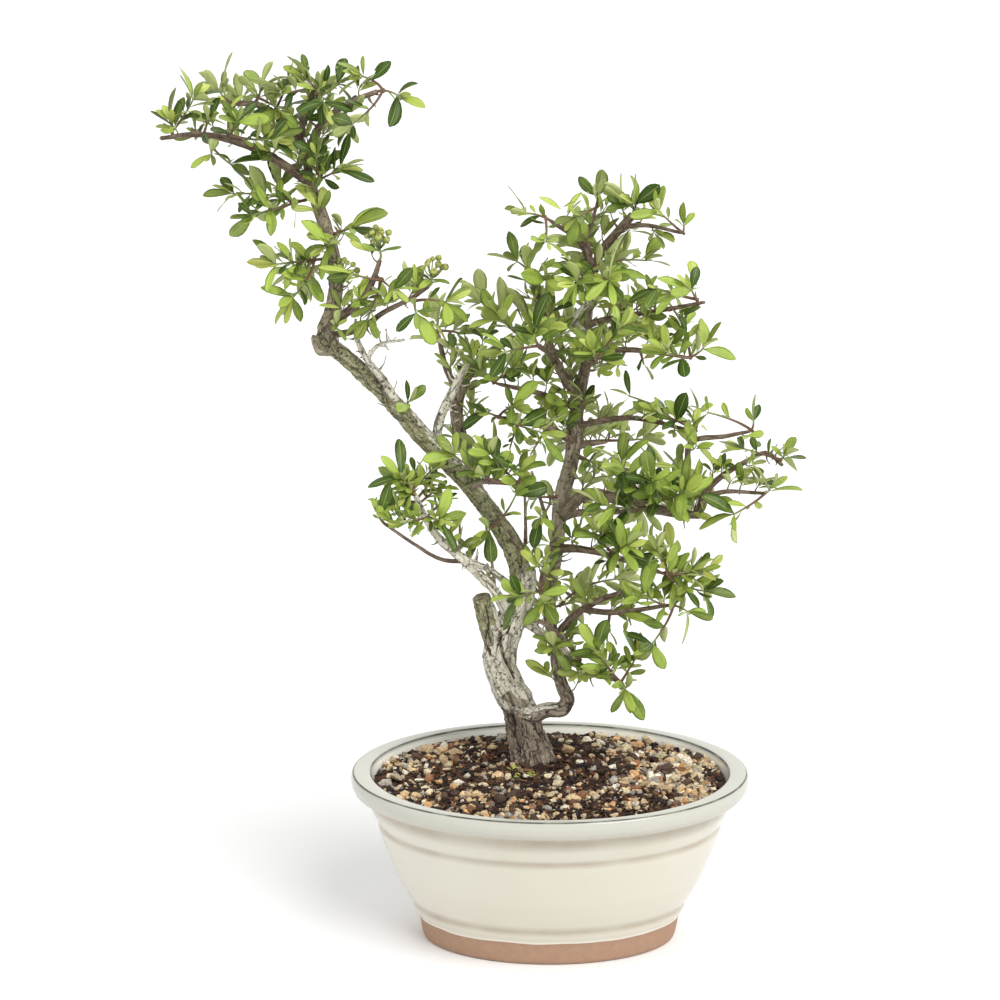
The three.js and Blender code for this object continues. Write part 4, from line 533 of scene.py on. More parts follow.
def leaf_on(twig, share, side, tilt, swing, roll, length):
    """A leaf on a twig's side, or at its end if no side is given. It leans up, and its face turns up to the
    light as far as its foot lets it."""
    if side is None:
        way, a, b = twig.axes(1)
        foot, along = twig.end, b - a
    else:
        way, a, b = twig.side(share, side)
        foot, along = twig.along(share) + a * (twig_radius(share) * math.sqrt(0.5)), b
    grow = (a * math.cos(swing) + b * math.sin(swing)) * math.sin(tilt) + way * math.cos(tilt)
    out = unit(grow + vec(0, 0, UPWARD_LEAN))
    lit = vec(0.35 * way[0], 0.35 * way[1], 0.9) + along * roll
    edge = cross(unit(lit - out * (lit @ out)), out)
    hold = unit(along - out * (along @ out))
    return blade(foot, out, unit(edge + hold * (-FOOT_HOLD if edge @ hold < 0 else FOOT_HOLD)), length)


def blade(foot, out, edge, length, **traits):
    """A leaf: its foot, its ways along, across and out of its face, and its length."""
    return {"foot": foot, "out": out, "edge": edge, "face": cross(out, edge), "length": length, **traits}


SAMPLE_ALONG, SAMPLE_ACROSS = np.array(LEAF_SAMPLES).T[:, :, None]


def leaf_samples(leaf):
    """The sample points: foot + a length out + c width/2 edge - droop length a^2 face."""
    length = leaf["length"]
    return (leaf["foot"] + leaf["out"] * SAMPLE_ALONG * length
            + leaf["edge"] * SAMPLE_ACROSS * length * LEAF_WIDTH_RATIO / 2
            - leaf["face"] * LEAF_DROOP * length * SAMPLE_ALONG**2)


class Crowd:
    """Everything a new leaf has to miss: spans of limbs and twigs, balls of berries, and earlier leaves."""

    def __init__(self, twigs):
        paths = [(-1, path) for path in LIMBS.values()]
        paths += [(number, [(*twig.along(share), TWIG_RADIUS) for share in (0, 1 / 3, 2 / 3, 1)])
                  for number, (_, twig) in enumerate(twigs)]
        spans = np.array([(*a[:3], *b[:3], max(a[3], b[3]), owner)
                          for owner, path in paths for a, b in zip(path, path[1:])], float)
        self.starts, self.steps = spans[:, 0:3], spans[:, 3:6] - spans[:, 0:3]
        self.radii, self.span_owners = spans[:, 6:].T
        self.squares = (self.steps**2).sum(1)
        self.clusters = np.array([middle for _, middle, _ in BERRY_CLUSTERS.values()], float)
        self.leaves = []
        self.samples = np.zeros((LEAF_ROOM, len(LEAF_SAMPLES), 3))
        self.owners = np.zeros((LEAF_ROOM, 2), int)
        self.numbers = {name: number for number, name in enumerate(SPRAYS)}

    def is_clear(self, points, twig, spray, clearances):
        """Whether points miss the bark, the berries, and other leaves' points, by each one's clearance."""
        other_gap, own_gap, bark_gap = clearances
        offset = points[:, None] - self.starts
        share = np.clip((offset * self.steps).sum(2) / self.squares, 0, 1)
        apart = np.sqrt(((offset - share[..., None] * self.steps)**2).sum(2))
        if ((apart < self.radii + bark_gap) & (self.span_owners != twig)).any():
            return False
        apart = ((points[:, None] - self.clusters)**2).sum(2)
        if (apart < (CLUSTER_RADIUS + BERRY_RADIUS + 1)**2).any():
            return False
        count = len(self.leaves)
        near = ((self.samples[:count, 1] - points[1])**2).sum(1) < LEAF_REACH**2
        owners = self.owners[:count][near]
        apart = ((points[:, None, None] - self.samples[:count][near])**2).sum(3)
        gap = np.where(owners[:, 0] == self.numbers[spray], own_gap, other_gap)
        close = apart < (gap**2)[None, :, None]
        same = owners[:, 1] == twig
        close[0, same, :] = False
        close[:, same, 0] = False
        return not close.any()

    def settle(self, spot, pose, twig, spray, age, main=False):
        """Adds a leaf on a spot, in the first way of growing that is clear, if there is one."""
        for tilt, swing, size in GROWING_WAYS:
            leaf = leaf_on(*spot, pose[0] + math.radians(tilt), pose[1] + math.radians(swing), pose[2],
                pose[3] * size)
            points = leaf_samples(leaf)
            if self.is_clear(points, twig, spray, MAIN_CLEARANCES if main else FILL_CLEARANCES):
                self.samples[len(self.leaves)] = points
                self.owners[len(self.leaves)] = self.numbers[spray], twig
                self.leaves.append({**leaf, "spray": spray, "age": age, "main": main})
                return


@functools.lru_cache
def grown(leaf_length):
    """The tree's twigs and leaves: the main leaves of every spray first, then the ones that fill it out."""
    draws = {name: random_stream(name) for name in SPRAYS}
    twigs = [(name, twig) for name, (limb, ends) in SPRAYS.items()
             for twig in twigs_of(limb, ends, draws[name])]
    crowd, spare = Crowd(twigs), []
    for index, (name, twig) in enumerate(twigs):
        draw = draws[name]
        pose = (0.2 * draw(), 6.3 * draw(), 0.7 * (draw() - 0.5), leaf_length * (0.8 + 0.4 * draw()))
        crowd.settle((twig, 1, None), pose, index, name, 0.5, main=True)
        for k, share in enumerate(leaf_stations(twig)):
            for side in range(4):
                pose = (math.radians(SIDE_LEAF_TILT + TILT_PER_STATION * k + 14 * draw()),
                    0.8 * (draw() - 0.5), 0.8 * (draw() - 0.5), leaf_length * (0.8 + 0.4 * draw()))
                place = ((twig, share, side), pose, index, name, 0.8)
                if (side + k) % 2:
                    spare.append(place)
                else:
                    crowd.settle(*place, main=True)
    for place in spare:
        crowd.settle(*place)
    for name, limb, ends in SPRIGS:
        for end in ends:
            start, out = spring_from(LIMBS[limb], vec(*end))
            twigs.append((name, Twig(start, out, vec(*end), unit(cross(out, vec(0.3, 1, 0.2))))))
    fill_twigs(crowd, twigs, leaf_length)
    shoots = spur_shoots(crowd, len(twigs), leaf_length)
    leaves = [leaf for leaf in crowd.leaves
              if leaf["main"] or not in_clearing(leaf["foot"] + leaf["out"] * leaf["length"] * 0.55)]
    return twigs, [pair for pair in shoots if not in_clearing(pair[1].end)], leaves


def in_clearing(place):
    """Whether a place, seen from the camera's side, falls in one of the crown's gaps."""
    eye = vec(*CAMERA_PLACE)
    seen = eye + (place - eye) * (-eye[1] / (place[1] - eye[1]))
    return any((seen[0] - x)**2 + (seen[2] - z)**2 < radius**2 for x, z, radius in CLEARINGS)


def fill_twigs(crowd, twigs, leaf_length):
    """Leaves between the main ones: a whorl of small young ones at each tip, and one leaf every few
    millimetres down the twig, each turned on by the golden angle."""
    draw = random_stream("fill")
    for index, (name, twig) in enumerate(twigs):
        density, scale = SPRAY_FILLS.get(name, (1, 1))
        count = round(twig.length * 0.84 / 2.1 * density)
        for k in range(count):
            youth = max(0.0, 1 - k / 4)
            tilt = math.radians(62 - 34 * youth + 16 * (draw() - 0.5))
            length = leaf_length * scale * (0.42 + 0.5 * draw() - 0.1 * youth)
            pose = (tilt, 0.5 * (draw() - 0.5), 0.9 * (draw() - 0.5), length)
            crowd.settle((twig, 0.985 - 0.8 * k / count, k * GOLDEN_SIDES), pose, index, name,
                0.75 - 0.6 * youth + 0.25 * draw())


def spur_shoots(crowd, first, leaf_length):
    """Short leafy shoots that spring from the thinner limbs near leafy twigs."""
    draw = random_stream("spurs")
    carriers = {}
    for name, (limb, _) in SPRAYS.items():
        carriers.setdefault(limb, name)
    shoots = []
    for limb, name in carriers.items():
        path = LIMBS[limb]
        for a, b in zip(path, path[1:]):
            foot, span = vec(*a[:3]), vec(*b[:3]) - vec(*a[:3])
            way = unit(span)
            count = int(math.sqrt(span @ span) / 7)
            for k in range(count):
                share = (k + 0.2 + 0.6 * draw()) / count
                out = vec(draw() - 0.5, draw() - 0.5, draw() - 0.25)
                reach = 5 + 6 * draw()
                radius = a[3] + (b[3] - a[3]) * share
                if radius > THICKEST_WITH_SHOOTS:
                    continue
                out = unit(out - way * (out @ way))
                start = foot + span * share + out * radius * 0.8
                end = start + (out * 0.8 + way * 0.4 + vec(0, 0, 0.35)) * reach
                twig = Twig(start, out, end, unit(way - out * (way @ out)))
                points = np.array([twig.along(one) for one in (0.8, 1, 1)])
                index, before = first + len(shoots), len(crowd.leaves)
                if not crowd.is_clear(points, index, name, SHOOT_CLEARANCES):
                    continue
                for n in range(6):
                    tilt, length = math.radians(34 + 36 * draw()), leaf_length * (0.4 + 0.45 * draw())
                    pose = (tilt, 0, 0.8 * (draw() - 0.5), length)
                    crowd.settle((twig, 0.99 - 0.08 * n, n * GOLDEN_SIDES), pose, index, name,
                        0.25 + 0.5 * draw())
                if len(crowd.leaves) > before + 1:
                    shoots.append((name, twig))
                else:
                    del crowd.leaves[before:]
    return shoots


# Noise and meshes, as whole arrays
def noise(places, seed=0):
    """Smooth noise from 0 to 1: hashed values at the corners of unit cells, blended by 3t^2 - 2t^3."""
    places = np.asarray(places, float)
    cell = np.floor(places).astype(np.int64)
    t = places - cell
    t = t * t * (3 - 2 * t)
    total = np.zeros(places.shape[:-1])
    for corner in np.ndindex(2, 2, 2):
        at = cell + corner
        mixed = (at[..., 0] * 374761393 + at[..., 1] * 668265263 + at[..., 2] * 2246822519
                 + seed * 3266489917) & 0xFFFFFFFF
        mixed = ((mixed ^ (mixed >> 13)) * 1274126177) & 0xFFFFFFFF
        value = ((mixed ^ (mixed >> 16)) & 0xFFFF) / 65535
        total += value * np.prod(np.where(corner, t, 1 - t), axis=-1)
    return total


def layered(places, layers=3, seed=0):
    """Noise in layers, each twice as fine and half as strong as the one before."""
    strengths = 0.5 ** np.arange(layers)
    total = sum(noise(places * 2**k, seed + k) * strengths[k] for k in range(layers))
    return total / strengths.sum()


def smooth_step(low, high, value):
    """From 0 to 1 by 3t^2 - 2t^3, as a value goes from low to high."""
    t = np.clip((value - low) / (high - low), 0, 1)
    return t * t * (3 - 2 * t)


def mesh_piece(name, places, faces, material, uv=None, smooth=True, **marks):
    """A piece from places in millimetres, faces, and marks for its material."""
    mesh = bpy.data.meshes.new(name)
    mesh.from_pydata(to_frame(places), [], [row for part in faces for row in part.tolist()])
    mesh.polygons.foreach_set("use_smooth", np.full(len(mesh.polygons), smooth))
    add_marks(mesh, marks)
    if uv is not None:
        corners = np.zeros(len(mesh.loops), int)
        mesh.loops.foreach_get("vertex_index", corners)
        mesh.uv_layers.new(name="UVMap").data.foreach_set("uv", np.asarray(uv)[corners].ravel())
    mesh.materials.append(material)
    mesh.update()
    piece = bpy.data.objects.new(name, mesh)
    bpy.context.scene.collection.objects.link(piece)
    return piece


def add_marks(mesh, marks):
    """Numbers or vectors for the material, one a corner or one a face."""
    for name, values in marks.items():
        values = np.asarray(values, float)
        kind, slot = {1: ("FLOAT", "value"), 2: ("FLOAT_VECTOR", "vector")}[values.ndim]
        domain = "POINT" if len(values) == len(mesh.vertices) else "FACE"
        mesh.attributes.new(name, kind, domain).data.foreach_set(slot, values.ravel())


def finish_piece(piece, slot, *nodes):
    """The piece rides on the one body and hides the CAD nodes that it stands for. The slot is not used."""
    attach(piece, "root")
    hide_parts(*nodes)


def turns_round(sides):
    """Angles at even steps round a circle."""
    return np.arange(sides) * 2 * math.pi / sides


def closed_rings(rings, first_pole, last_pole):
    """A skin over rings of corners, closed to a pole at each end. Its faces turn outwards where each ring
    runs anticlockwise seen from the last end."""
    count, sides = rings.shape[:2]
    here = np.arange(count * sides).reshape(count, sides)
    beside, pole = np.roll(here, -1, 1), np.full(sides, count * sides)
    walls = np.stack([here[:-1], beside[:-1], beside[1:], here[1:]], -1).reshape(-1, 4)
    fans = [np.stack([pole, beside[0], here[0]], -1), np.stack([pole + 1, here[-1], beside[-1]], -1)]
    return np.concatenate([rings.reshape(-1, 3), [first_pole, last_pole]]), [walls, *fans]


def curve_through(path, step):
    """A smooth curve through points with radii: a cubic on each span, whose slopes come from its
    neighbours' difference over their distance."""
    points = np.array(path, float)
    sizes = np.linalg.norm(np.diff(points[:, :3], axis=0), axis=1)
    at = np.concatenate([[0], np.cumsum(sizes)])
    slopes = np.gradient(points, at, axis=0)
    where = np.linspace(0, at[-1], max(int(at[-1] / step), 3) + 1)
    k = np.clip(np.searchsorted(at, where, side="right") - 1, 0, len(sizes) - 1)
    h = sizes[k][:, None]
    t = (where - at[k])[:, None] / h
    curve = ((2 * t**3 - 3 * t**2 + 1) * points[k] + (t**3 - 2 * t**2 + t) * h * slopes[k]
             + (3 * t**2 - 2 * t**3) * points[k + 1] + (t**3 - t**2) * h * slopes[k + 1])
    return curve[:, :3], np.maximum(curve[:, 3], 0.35), where


def units(rows):
    """Each row divided by its length."""
    return rows / np.linalg.norm(rows, axis=1, keepdims=True)


def curve_axes(places):
    """Headings of a curve and two directions across it, from the axis that it runs along least."""
    way = units(np.gradient(places, axis=0))
    reference = np.eye(3)[np.argmin(np.abs(way).max(0))]
    side = units(reference - way * (way @ reference)[:, None])
    return way, side, np.cross(way, side)


def tube(places, radii, sides, relief=1, end_reach=0.5):
    """A tube round a curve: place + radius (cos side + sin up), closed by a pole past each end. `relief`
    is how much each corner's radius is multiplied by."""
    way, side, up = curve_axes(places)
    turns = turns_round(sides)[:, None]
    reach = (radii[:, None] * relief)[..., None]
    rings = places[:, None] + reach * (side[:, None] * np.cos(turns) + up[:, None] * np.sin(turns))
    start, end = places[0] - way[0] * radii[0] * 0.4, places[-1] + way[-1] * radii[-1] * end_reach
    return closed_rings(rings, start, end)


def joined(parts):
    """Several (corners, faces, *marks) as one, with each part's faces counted on."""
    first, faces = 0, []
    for part in parts:
        faces += [rows + first for rows in part[1]]
        first += len(part[0])
    corners, _, *marks = zip(*parts)
    return (np.concatenate(corners), faces, *(np.concatenate(values) for values in marks))


# The pot
def refined(rows, step):
    """Rows at even steps along a profile, closer at the rim, and then each place averaged with its
    neighbours' places, so that corners are soft."""
    rows = np.array(rows, float)
    size = np.hypot(np.diff(rows[:, 1]), np.diff(rows[:, 2]))
    at_rim = (rows[:-1, 2] > RIM_FOOT) & (rows[1:, 2] > RIM_FOOT)
    at = np.concatenate([[0], np.cumsum(size * np.where(at_rim, 2.4, 1))])
    where = np.linspace(0, at[-1], int(at[-1] / step))
    even = np.stack([np.interp(where, at, column) for column in rows.T], 1)
    even[1:-1, :3] = even[1:-1, :3] * 0.5 + (even[:-2, :3] + even[2:, :3]) * 0.25
    return even


def oval_rings(inset_length, inset_depth, z, sides):
    """Ovals (127 - inset) cos t, (100 - inset) sin t at a height, one for each row."""
    turns = turns_round(sides)
    x = (HALF_LENGTH - inset_length)[:, None] * np.cos(turns)
    y = (HALF_DEPTH - inset_depth)[:, None] * np.sin(turns)
    return np.stack(np.broadcast_arrays(x, y, z[:, None]), -1)


def build_pot(sizes):
    """The profile turned round an oval, closed at the middle of the underside and of the floor."""
    rows = refined(POT_PROFILE, 1.6)
    sides, height = 220, rows[:, 2]
    skin = closed_rings(oval_rings(*rows[:, :3].T, sides), (0, 0, height[0]), (0, 0, height[-1]))
    # the inner wall below the rim is marked for a brighter glaze: painted light, standing in for light that
    # falls into the pot
    inner = smooth_step(110.4, 108.6, height) * (np.arange(len(rows)) > np.argmax(height))
    kinds = (("line", rows[:, 3], 0), ("groove_and_lip_shade", rows[:, 4], 0), ("inner", inner, 1))
    marks = {name: np.append(np.repeat(values, sides), [0, last]) for name, values, last in kinds}
    pot = mesh_piece("glazed_pot", *skin, glaze_finish(sizes), **marks)
    drills = [tube(vec((x, 0, -3), (x, 0, 12), (x, 0, 20)), np.full(3, float(radius)), 40)
              for x, radius in DRAIN_HOLES]
    drill = mesh_piece("drain_drill", *joined(drills), pot.data.materials[0])
    holes = pot.modifiers.new("drain_holes", "BOOLEAN")
    holes.operation, holes.solver, holes.object = "DIFFERENCE", "EXACT", drill
    apply_modifiers(pot)
    bpy.data.objects.remove(drill)
    finish_piece(pot, "glaze", "pot")


def apply_modifiers(piece):
    """Put the mesh that a piece's modifiers give in place of its own."""
    depsgraph = bpy.context.evaluated_depsgraph_get()
    finished = bpy.data.meshes.new_from_object(piece.evaluated_get(depsgraph), depsgraph=depsgraph)
    piece.modifiers.clear()
    piece.data = finished


def dress_nets(sizes):
    """The drain nets keep their packed meshes and get their finish."""
    material = net_finish(sizes)
    for name in ("drain_screen_left", "drain_screen_right"):
        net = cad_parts[name]
        net.data.materials.clear()
        net.data.materials.append(material)


# The soil
def soil_insets(level):
    """How far the soil's wall lies in from the rim's oval, along the length and the depth."""
    inside = np.array(POT_INSIDE)
    return [np.interp(level, inside[:, 2], inside[:, k]) + SOIL_GAP for k in (0, 1)]


def soil_places(share, turn, inset=0.0):
    """Places on the soil's top: the wall's oval times the share, moved to the mound's top by the rest, and
    the height: edge height + mound (1 - s^2) + lumps s (1 - s) (sin(3t + 1) + sin(5t + 7s))."""
    in_length, in_depth = soil_insets(SOIL_EDGE_HEIGHT)
    x = (HALF_LENGTH - in_length - inset) * np.cos(turn) * share + SOIL_TOP[0] * (1 - share)
    y = (HALF_DEPTH - in_depth - inset) * np.sin(turn) * share + SOIL_TOP[1] * (1 - share)
    lumps = np.sin(3 * turn + 1) + np.sin(5 * turn + 7 * share)
    z = SOIL_EDGE_HEIGHT + SOIL_MOUND * (1 - share**2) + SOIL_LUMPS * share * (1 - share) * lumps
    return np.stack(np.broadcast_arrays(x, y, z), -1)


def build_soil_bed(sizes):
    """A filled tub: ovals up the pot's inside, then rings over the crumbly top: its height plus noise."""
    sides, levels = 260, np.array([16.3, 21, 45, 80])
    share = np.linspace(1, 0.012, 74)[:, None]
    top = soil_places(share, turns_round(sides)[None, :])
    rough = layered(top * vec(0.28, 0.28, 0), 3, 5) - 0.5
    top[..., 2] += (2.6 * rough - 0.7) * np.minimum(1, (1 - share) * 25)
    rings = np.concatenate([oval_rings(*soil_insets(levels), levels, sides), top])
    skin = closed_rings(rings, (0, 0, levels[0]), (*SOIL_TOP, top[-1, :, 2].mean()))
    finish_piece(mesh_piece("soil_bed", *skin, soil_finish(sizes)), "soil", "soil")


def turned(shapes, rng, most_tilt):
    """Each shape of an (n, corners, 3) array turned by its own quaternion: any heading, limited tilt."""
    count = len(shapes)
    heading, tilt = rng.uniform(0, 2 * math.pi, count), rng.uniform(0, most_tilt, count) / 2
    way, spin = rng.uniform(0, 2 * math.pi, count), heading / 2
    # a spin about the upright axis, and then a tilt about a level one
    w, z = np.cos(tilt) * np.cos(spin), np.cos(tilt) * np.sin(spin)
    x, y = np.sin(tilt) * np.cos(way - spin), np.sin(tilt) * np.sin(way - spin)
    q = np.stack([x, y, z], -1)[:, None]
    twice = 2 * np.cross(q, shapes)
    return shapes + w[:, None, None] * twice + np.cross(q, twice)


# An icosahedron's corners, and a block's corners and faces
BALL_CORNERS = np.array([(s, t * 1.618, 0) for s in (-1, 1) for t in (-1, 1)]
                        + [(0, s, t * 1.618) for s in (-1, 1) for t in (-1, 1)]
                        + [(s * 1.618, 0, t) for s in (-1, 1) for t in (-1, 1)]) / 1.902
BLOCK_CORNERS = np.array([(x, y, z) for z in (-1, 1) for x, y in ((-1, -1), (1, -1), (1, 1), (-1, 1))], float)
BLOCK_FACES = np.array([(3, 2, 1, 0), (4, 5, 6, 7), (0, 1, 5, 4), (1, 2, 6, 5), (2, 3, 7, 6), (3, 0, 4, 7)])


def ball_faces():
    """Outward triangles between an icosahedron's nearest corners."""
    apart = np.linalg.norm(BALL_CORNERS[:, None] - BALL_CORNERS, axis=2)
    near = (apart > 0.1) & (apart < 1.2)
    i, j, k = np.nonzero(near[:, :, None] & near[:, None, :] & near[None, :, :])
    rows = np.stack([i, j, k], 1)[(i < j) & (i < k) & (j != k)]
    a, b, c = BALL_CORNERS[rows].transpose(1, 0, 2)
    return rows[(np.cross(b - a, c - a) * a).sum(1) > 0]


def scattered(rng, count, density, inset):
    """Places on the soil, more where the density is higher, clear of the trunk's foot."""
    share, turn = np.sqrt(rng.uniform(0, 1, count * 6)), rng.uniform(0, 2 * math.pi, count * 6)
    places = soil_places(share, turn, inset)
    free = np.hypot(places[:, 0] - TRUNK_FOOT[0], places[:, 1] - TRUNK_FOOT[1]) > TRUNK_FOOT[2]
    chance = density(places) if callable(density) else density
    return places[free & (rng.uniform(0, 1, len(share)) < chance)][:count]


def copies(shapes, *parts):
    """Many shapes with the same faces as one set of corners and faces."""
    first = np.arange(len(shapes))[:, None, None] * shapes.shape[1]
    return shapes.reshape(-1, 3), [(faces + first).reshape(-1, faces.shape[1]) for faces in parts]


def gravel_density(places):
    """Stones lie thickest at the right end, less at the left end and the front, in patches."""
    patch = layered(places * vec(0.045, 0.045, 0), 2, 9) - 0.5
    right, left = smooth_step(25, 80, places[:, 0]), smooth_step(-45, -100, places[:, 0])
    ends = np.maximum(right, 0.4 * np.maximum(left, smooth_step(-25, -80, places[:, 1])))
    return 0.05 + 0.9 * ends * smooth_step(-0.2, 0.12, patch)


def build_gravel(sizes):
    """Stones: jittered icosahedra. Chips: jittered blocks. Each has its own tone."""
    rng = np.random.default_rng(11)
    places = scattered(rng, sizes.stone_count, gravel_density, 1.6)
    count = len(places)
    radius = sizes.stone_size * 1000 * (0.4 + 2.2 * rng.beta(1.0, 3.4, count))
    shapes = BALL_CORNERS * rng.uniform(0.6, 1.16, (count, 12, 1)) * radius[:, None, None]
    shapes = shapes * rng.uniform(0.55, 1.2, (count, 1, 3)) * vec(1, 1, 0.8)
    strew(rng, "gravel", places, shapes, ball_faces(), 0.7, radius, (-0.1, 0.75), GRAVEL_TONES,
        grit_finish("stone", 0.8, 700))
    places = scattered(rng, sizes.chip_count, 0.55, 2.6)
    count = len(places)
    long = 0.5 + 5.5 * rng.beta(0.7, 4.5, (count, 1))
    size = long ** vec(1, 0.7, 0.6) * rng.uniform((0.9, 0.5, 0.3), (1.1, 0.9, 0.6), (count, 3))
    shapes = BLOCK_CORNERS * (1 + rng.uniform(-0.35, 0.2, (count, 8, 3))) * size[:, None]
    strew(rng, "bark_chips", places, shapes, BLOCK_FACES, 0.75, 1, (-0.2, 1.3), CHIP_TONES,
        grit_finish("chip", 0.9, 520))


def strew(rng, name, places, shapes, faces, most_tilt, size, lift, tones, material):
    """Shapes turned, laid at their places and lifted by a share of their size, as one piece."""
    shapes = turned(shapes, rng, most_tilt) + places[:, None]
    shapes[..., 2] += (size * rng.uniform(*lift, len(places)))[:, None]
    tone = np.repeat(pick_tones(rng, len(places), tones), shapes.shape[1], 0)
    piece = mesh_piece(name, *copies(shapes, faces), material, smooth=False, tone=tone)
    finish_piece(piece, "soil", "soil")


def pick_tones(rng, count, tones):
    """Each one's tone from a table of (share, screen levels), a little lighter or darker."""
    table = np.array(tones, float)
    picked = rng.choice(len(table), count, p=table[:, 0] / table[:, 0].sum())
    return to_linear(table[picked, 1:]) * rng.uniform(0.6, 1.25, (count, 1))


def to_linear(levels):
    """The light of screen levels from 0 to 255."""
    return ((np.asarray(levels) / 255 + 0.055) / 1.055) ** 2.4


def build_fibres(sizes):
    """Root fibres and dead needles: thin tubes on shallow arcs, middle + way l t + side b (1/4 - t^2)."""
    rng = np.random.default_rng(23)
    parts = []
    for place in scattered(rng, sizes.fibre_count, 0.6, 8):
        heading, length = rng.uniform(0, 2 * math.pi), rng.uniform(6, 24)
        way = vec(math.cos(heading), math.sin(heading), 0)
        t = np.linspace(-0.5, 0.5, 7)[:, None]
        line = place + way * t * length + cross(way, vec(0, 0, 1)) * rng.uniform(-5, 5) * (0.25 - t**2)
        line[:, 2] += 1.4 + rng.uniform(0, 0.8)
        corners, faces = tube(line, rng.uniform(0.16, 0.42) * (1 - 1.2 * np.abs(t[:, 0])), 5)
        parts.append((corners, faces, np.repeat(pick_tones(rng, 1, CHIP_TONES[2:]), len(corners), 0)))
    corners, faces, tone = joined(parts)
    fibres = mesh_piece("root_fibres", corners, faces, grit_finish("fibre", 0.85, 400), tone=tone)
    finish_piece(fibres, "soil", "soil")


def build_seedlings(sizes):
    """Tiny round-leaved seedlings by the trunk, from the leaf's own surface."""
    rng = np.random.default_rng(31)
    leaves = []
    for x, y, count in SEEDLINGS:
        for k in range(count):
            turn = k * GOLDEN_ANGLE + x
            out = unit(vec(math.cos(turn), math.sin(turn), 0.55 + 0.3 * rng.uniform()))
            foot = vec(x + rng.uniform(-1.5, 1.5), y + rng.uniform(-1.5, 1.5), 110.5)
            leaves.append(blade(foot, out, unit(cross(vec(0, 0, 1), out)), rng.uniform(3.5, 6.5), age=0.3))
    finish_piece(leaf_piece("seedlings", leaves, leaf_finish(sizes), 0.62, 31), "leaf", "soil")


# The wood
STOUT_LIMBS = {name: path for name, path in LIMBS.items() if max(row[3] for row in path) >= STOUT_RADIUS}
STOUT_LIMBS |= ROOTS | KNOBS


def wood_samples():
    """The stout limbs' curves as one table: place, radius, arc, heading, side, up and the limb's number."""
    rows = []
    for number, path in enumerate(STOUT_LIMBS.values()):
        places, radii, arc = curve_through(path, WOOD_STEP)
        rows.append(np.column_stack([places, radii, arc, *curve_axes(places), np.full(len(arc), number)]))
    return np.concatenate(rows)


def weather_of(name):
    """How bleached, lichened and young a limb's bark is."""
    return WEATHER.get("trunk" if name in ROOTS else name, YOUNG_BARK)


def ridged(places, layers, seed):
    """Noise folded at its middle, so that it makes ridges with sharp furrows between them."""
    return 1 - np.abs(2 * layered(places, layers, seed) - 1)


def evened(places, edges, rounds):
    """Each corner moved half way to the mean of its neighbours, as often as there are rounds."""
    both = np.concatenate([edges, edges[:, ::-1]])
    share = np.bincount(both[:, 0], minlength=len(places))[:, None]
    for _ in range(rounds):
        sums = [np.bincount(both[:, 0], places[both[:, 1], k], len(places)) for k in range(3)]
        places = 0.5 * places + 0.5 * np.stack(sums, 1) / share
    return places


def nearest_samples(places, table):
    """For each corner the curve sample whose bark is nearest: distance less radius."""
    found = np.zeros(len(places), int)
    for part in np.array_split(np.arange(len(places)), 60):
        gap = np.linalg.norm(places[part, None] - table[None, :, :3], axis=2) - table[:, 3]
        found[part] = gap.argmin(1)
    return table[found]


def wrapped(radii, turns, along):
    """A tube's corners unrolled, for patterns: (r cos t, r sin t, along)."""
    return np.stack(np.broadcast_arrays(radii * np.cos(turns), radii * np.sin(turns), along), -1)


def grain_marks(radii, turns, along):
    """The unrolled corners and both poles of a tube, in metres."""
    around = wrapped(radii, turns, along)
    return np.concatenate([around.reshape(-1, 3), around[[0, -1], 0]]) * 0.001


def build_trunk(sizes):
    """Fluted tubes along the stout limbs, melted into one skin by a voxel remesh, evened, and then raised
    and furrowed: radius times (ridges + bumps), along the line from the limb's middle."""
    parts, sides = [], 24
    for number, (name, path) in enumerate(STOUT_LIMBS.items()):
        places, radii, arc = curve_through(path, WOOD_STEP)
        radii = radii * SLIMMED.get(name, 1)
        spots = wrapped(radii[:, None], turns_round(sides), 0.2 * arc[:, None] + 9 * number)
        relief = 1 + sizes.flutes * (layered(spots * 0.2, 2, 3) - 0.5)
        parts.append(tube(places, radii, sides, relief, 0.15 if name == "cut_stub" else 0.5))
    trunk = mesh_piece("trunk", *joined(parts), bark_finish(sizes))
    melt = trunk.modifiers.new("melt", "REMESH")
    melt.mode, melt.voxel_size, melt.adaptivity = "VOXEL", sizes.melt_size, 0
    apply_modifiers(trunk)
    mesh = trunk.data
    places, edges = np.zeros(len(mesh.vertices) * 3), np.zeros(len(mesh.edges) * 2, int)
    mesh.vertices.foreach_get("co", places)
    mesh.edges.foreach_get("vertices", edges)
    edges = edges.reshape(-1, 2)
    places = evened((places.reshape(-1, 3) - POT_MIDDLE) * 1000, edges, 3)
    places, marks = barked(places, nearest_samples(places, wood_samples()), edges, sizes)
    mesh.vertices.foreach_set("co", to_frame(places).ravel())
    add_marks(mesh, marks)
    mesh.polygons.foreach_set("use_smooth", np.full(len(mesh.polygons), True))
    mesh.update()
    finish_piece(trunk, "wood", "trunk_and_branches")


def scars_at(places, facing):
    """How much the trunk's scars raise, bleach and darken each corner: a scar's strengths times
    exp(-(d / w)^2), d being the distance to its line as seen from the front."""
    total = np.zeros((3, len(places)))
    seen = places[:, [0, 2]]
    for *strengths, width, line in TRUNK_SCARS:
        nearest = np.full(len(places), np.inf)
        for a, b in zip(np.array(line, float), np.array(line[1:], float)):
            share = np.clip((seen - a) @ (b - a) / ((b - a) @ (b - a)), 0, 1)
            nearest = np.minimum(nearest, ((seen - a - share[:, None] * (b - a))**2).sum(1))
        total += np.array(strengths)[:, None] * np.exp(-nearest / width**2) * facing
    return total


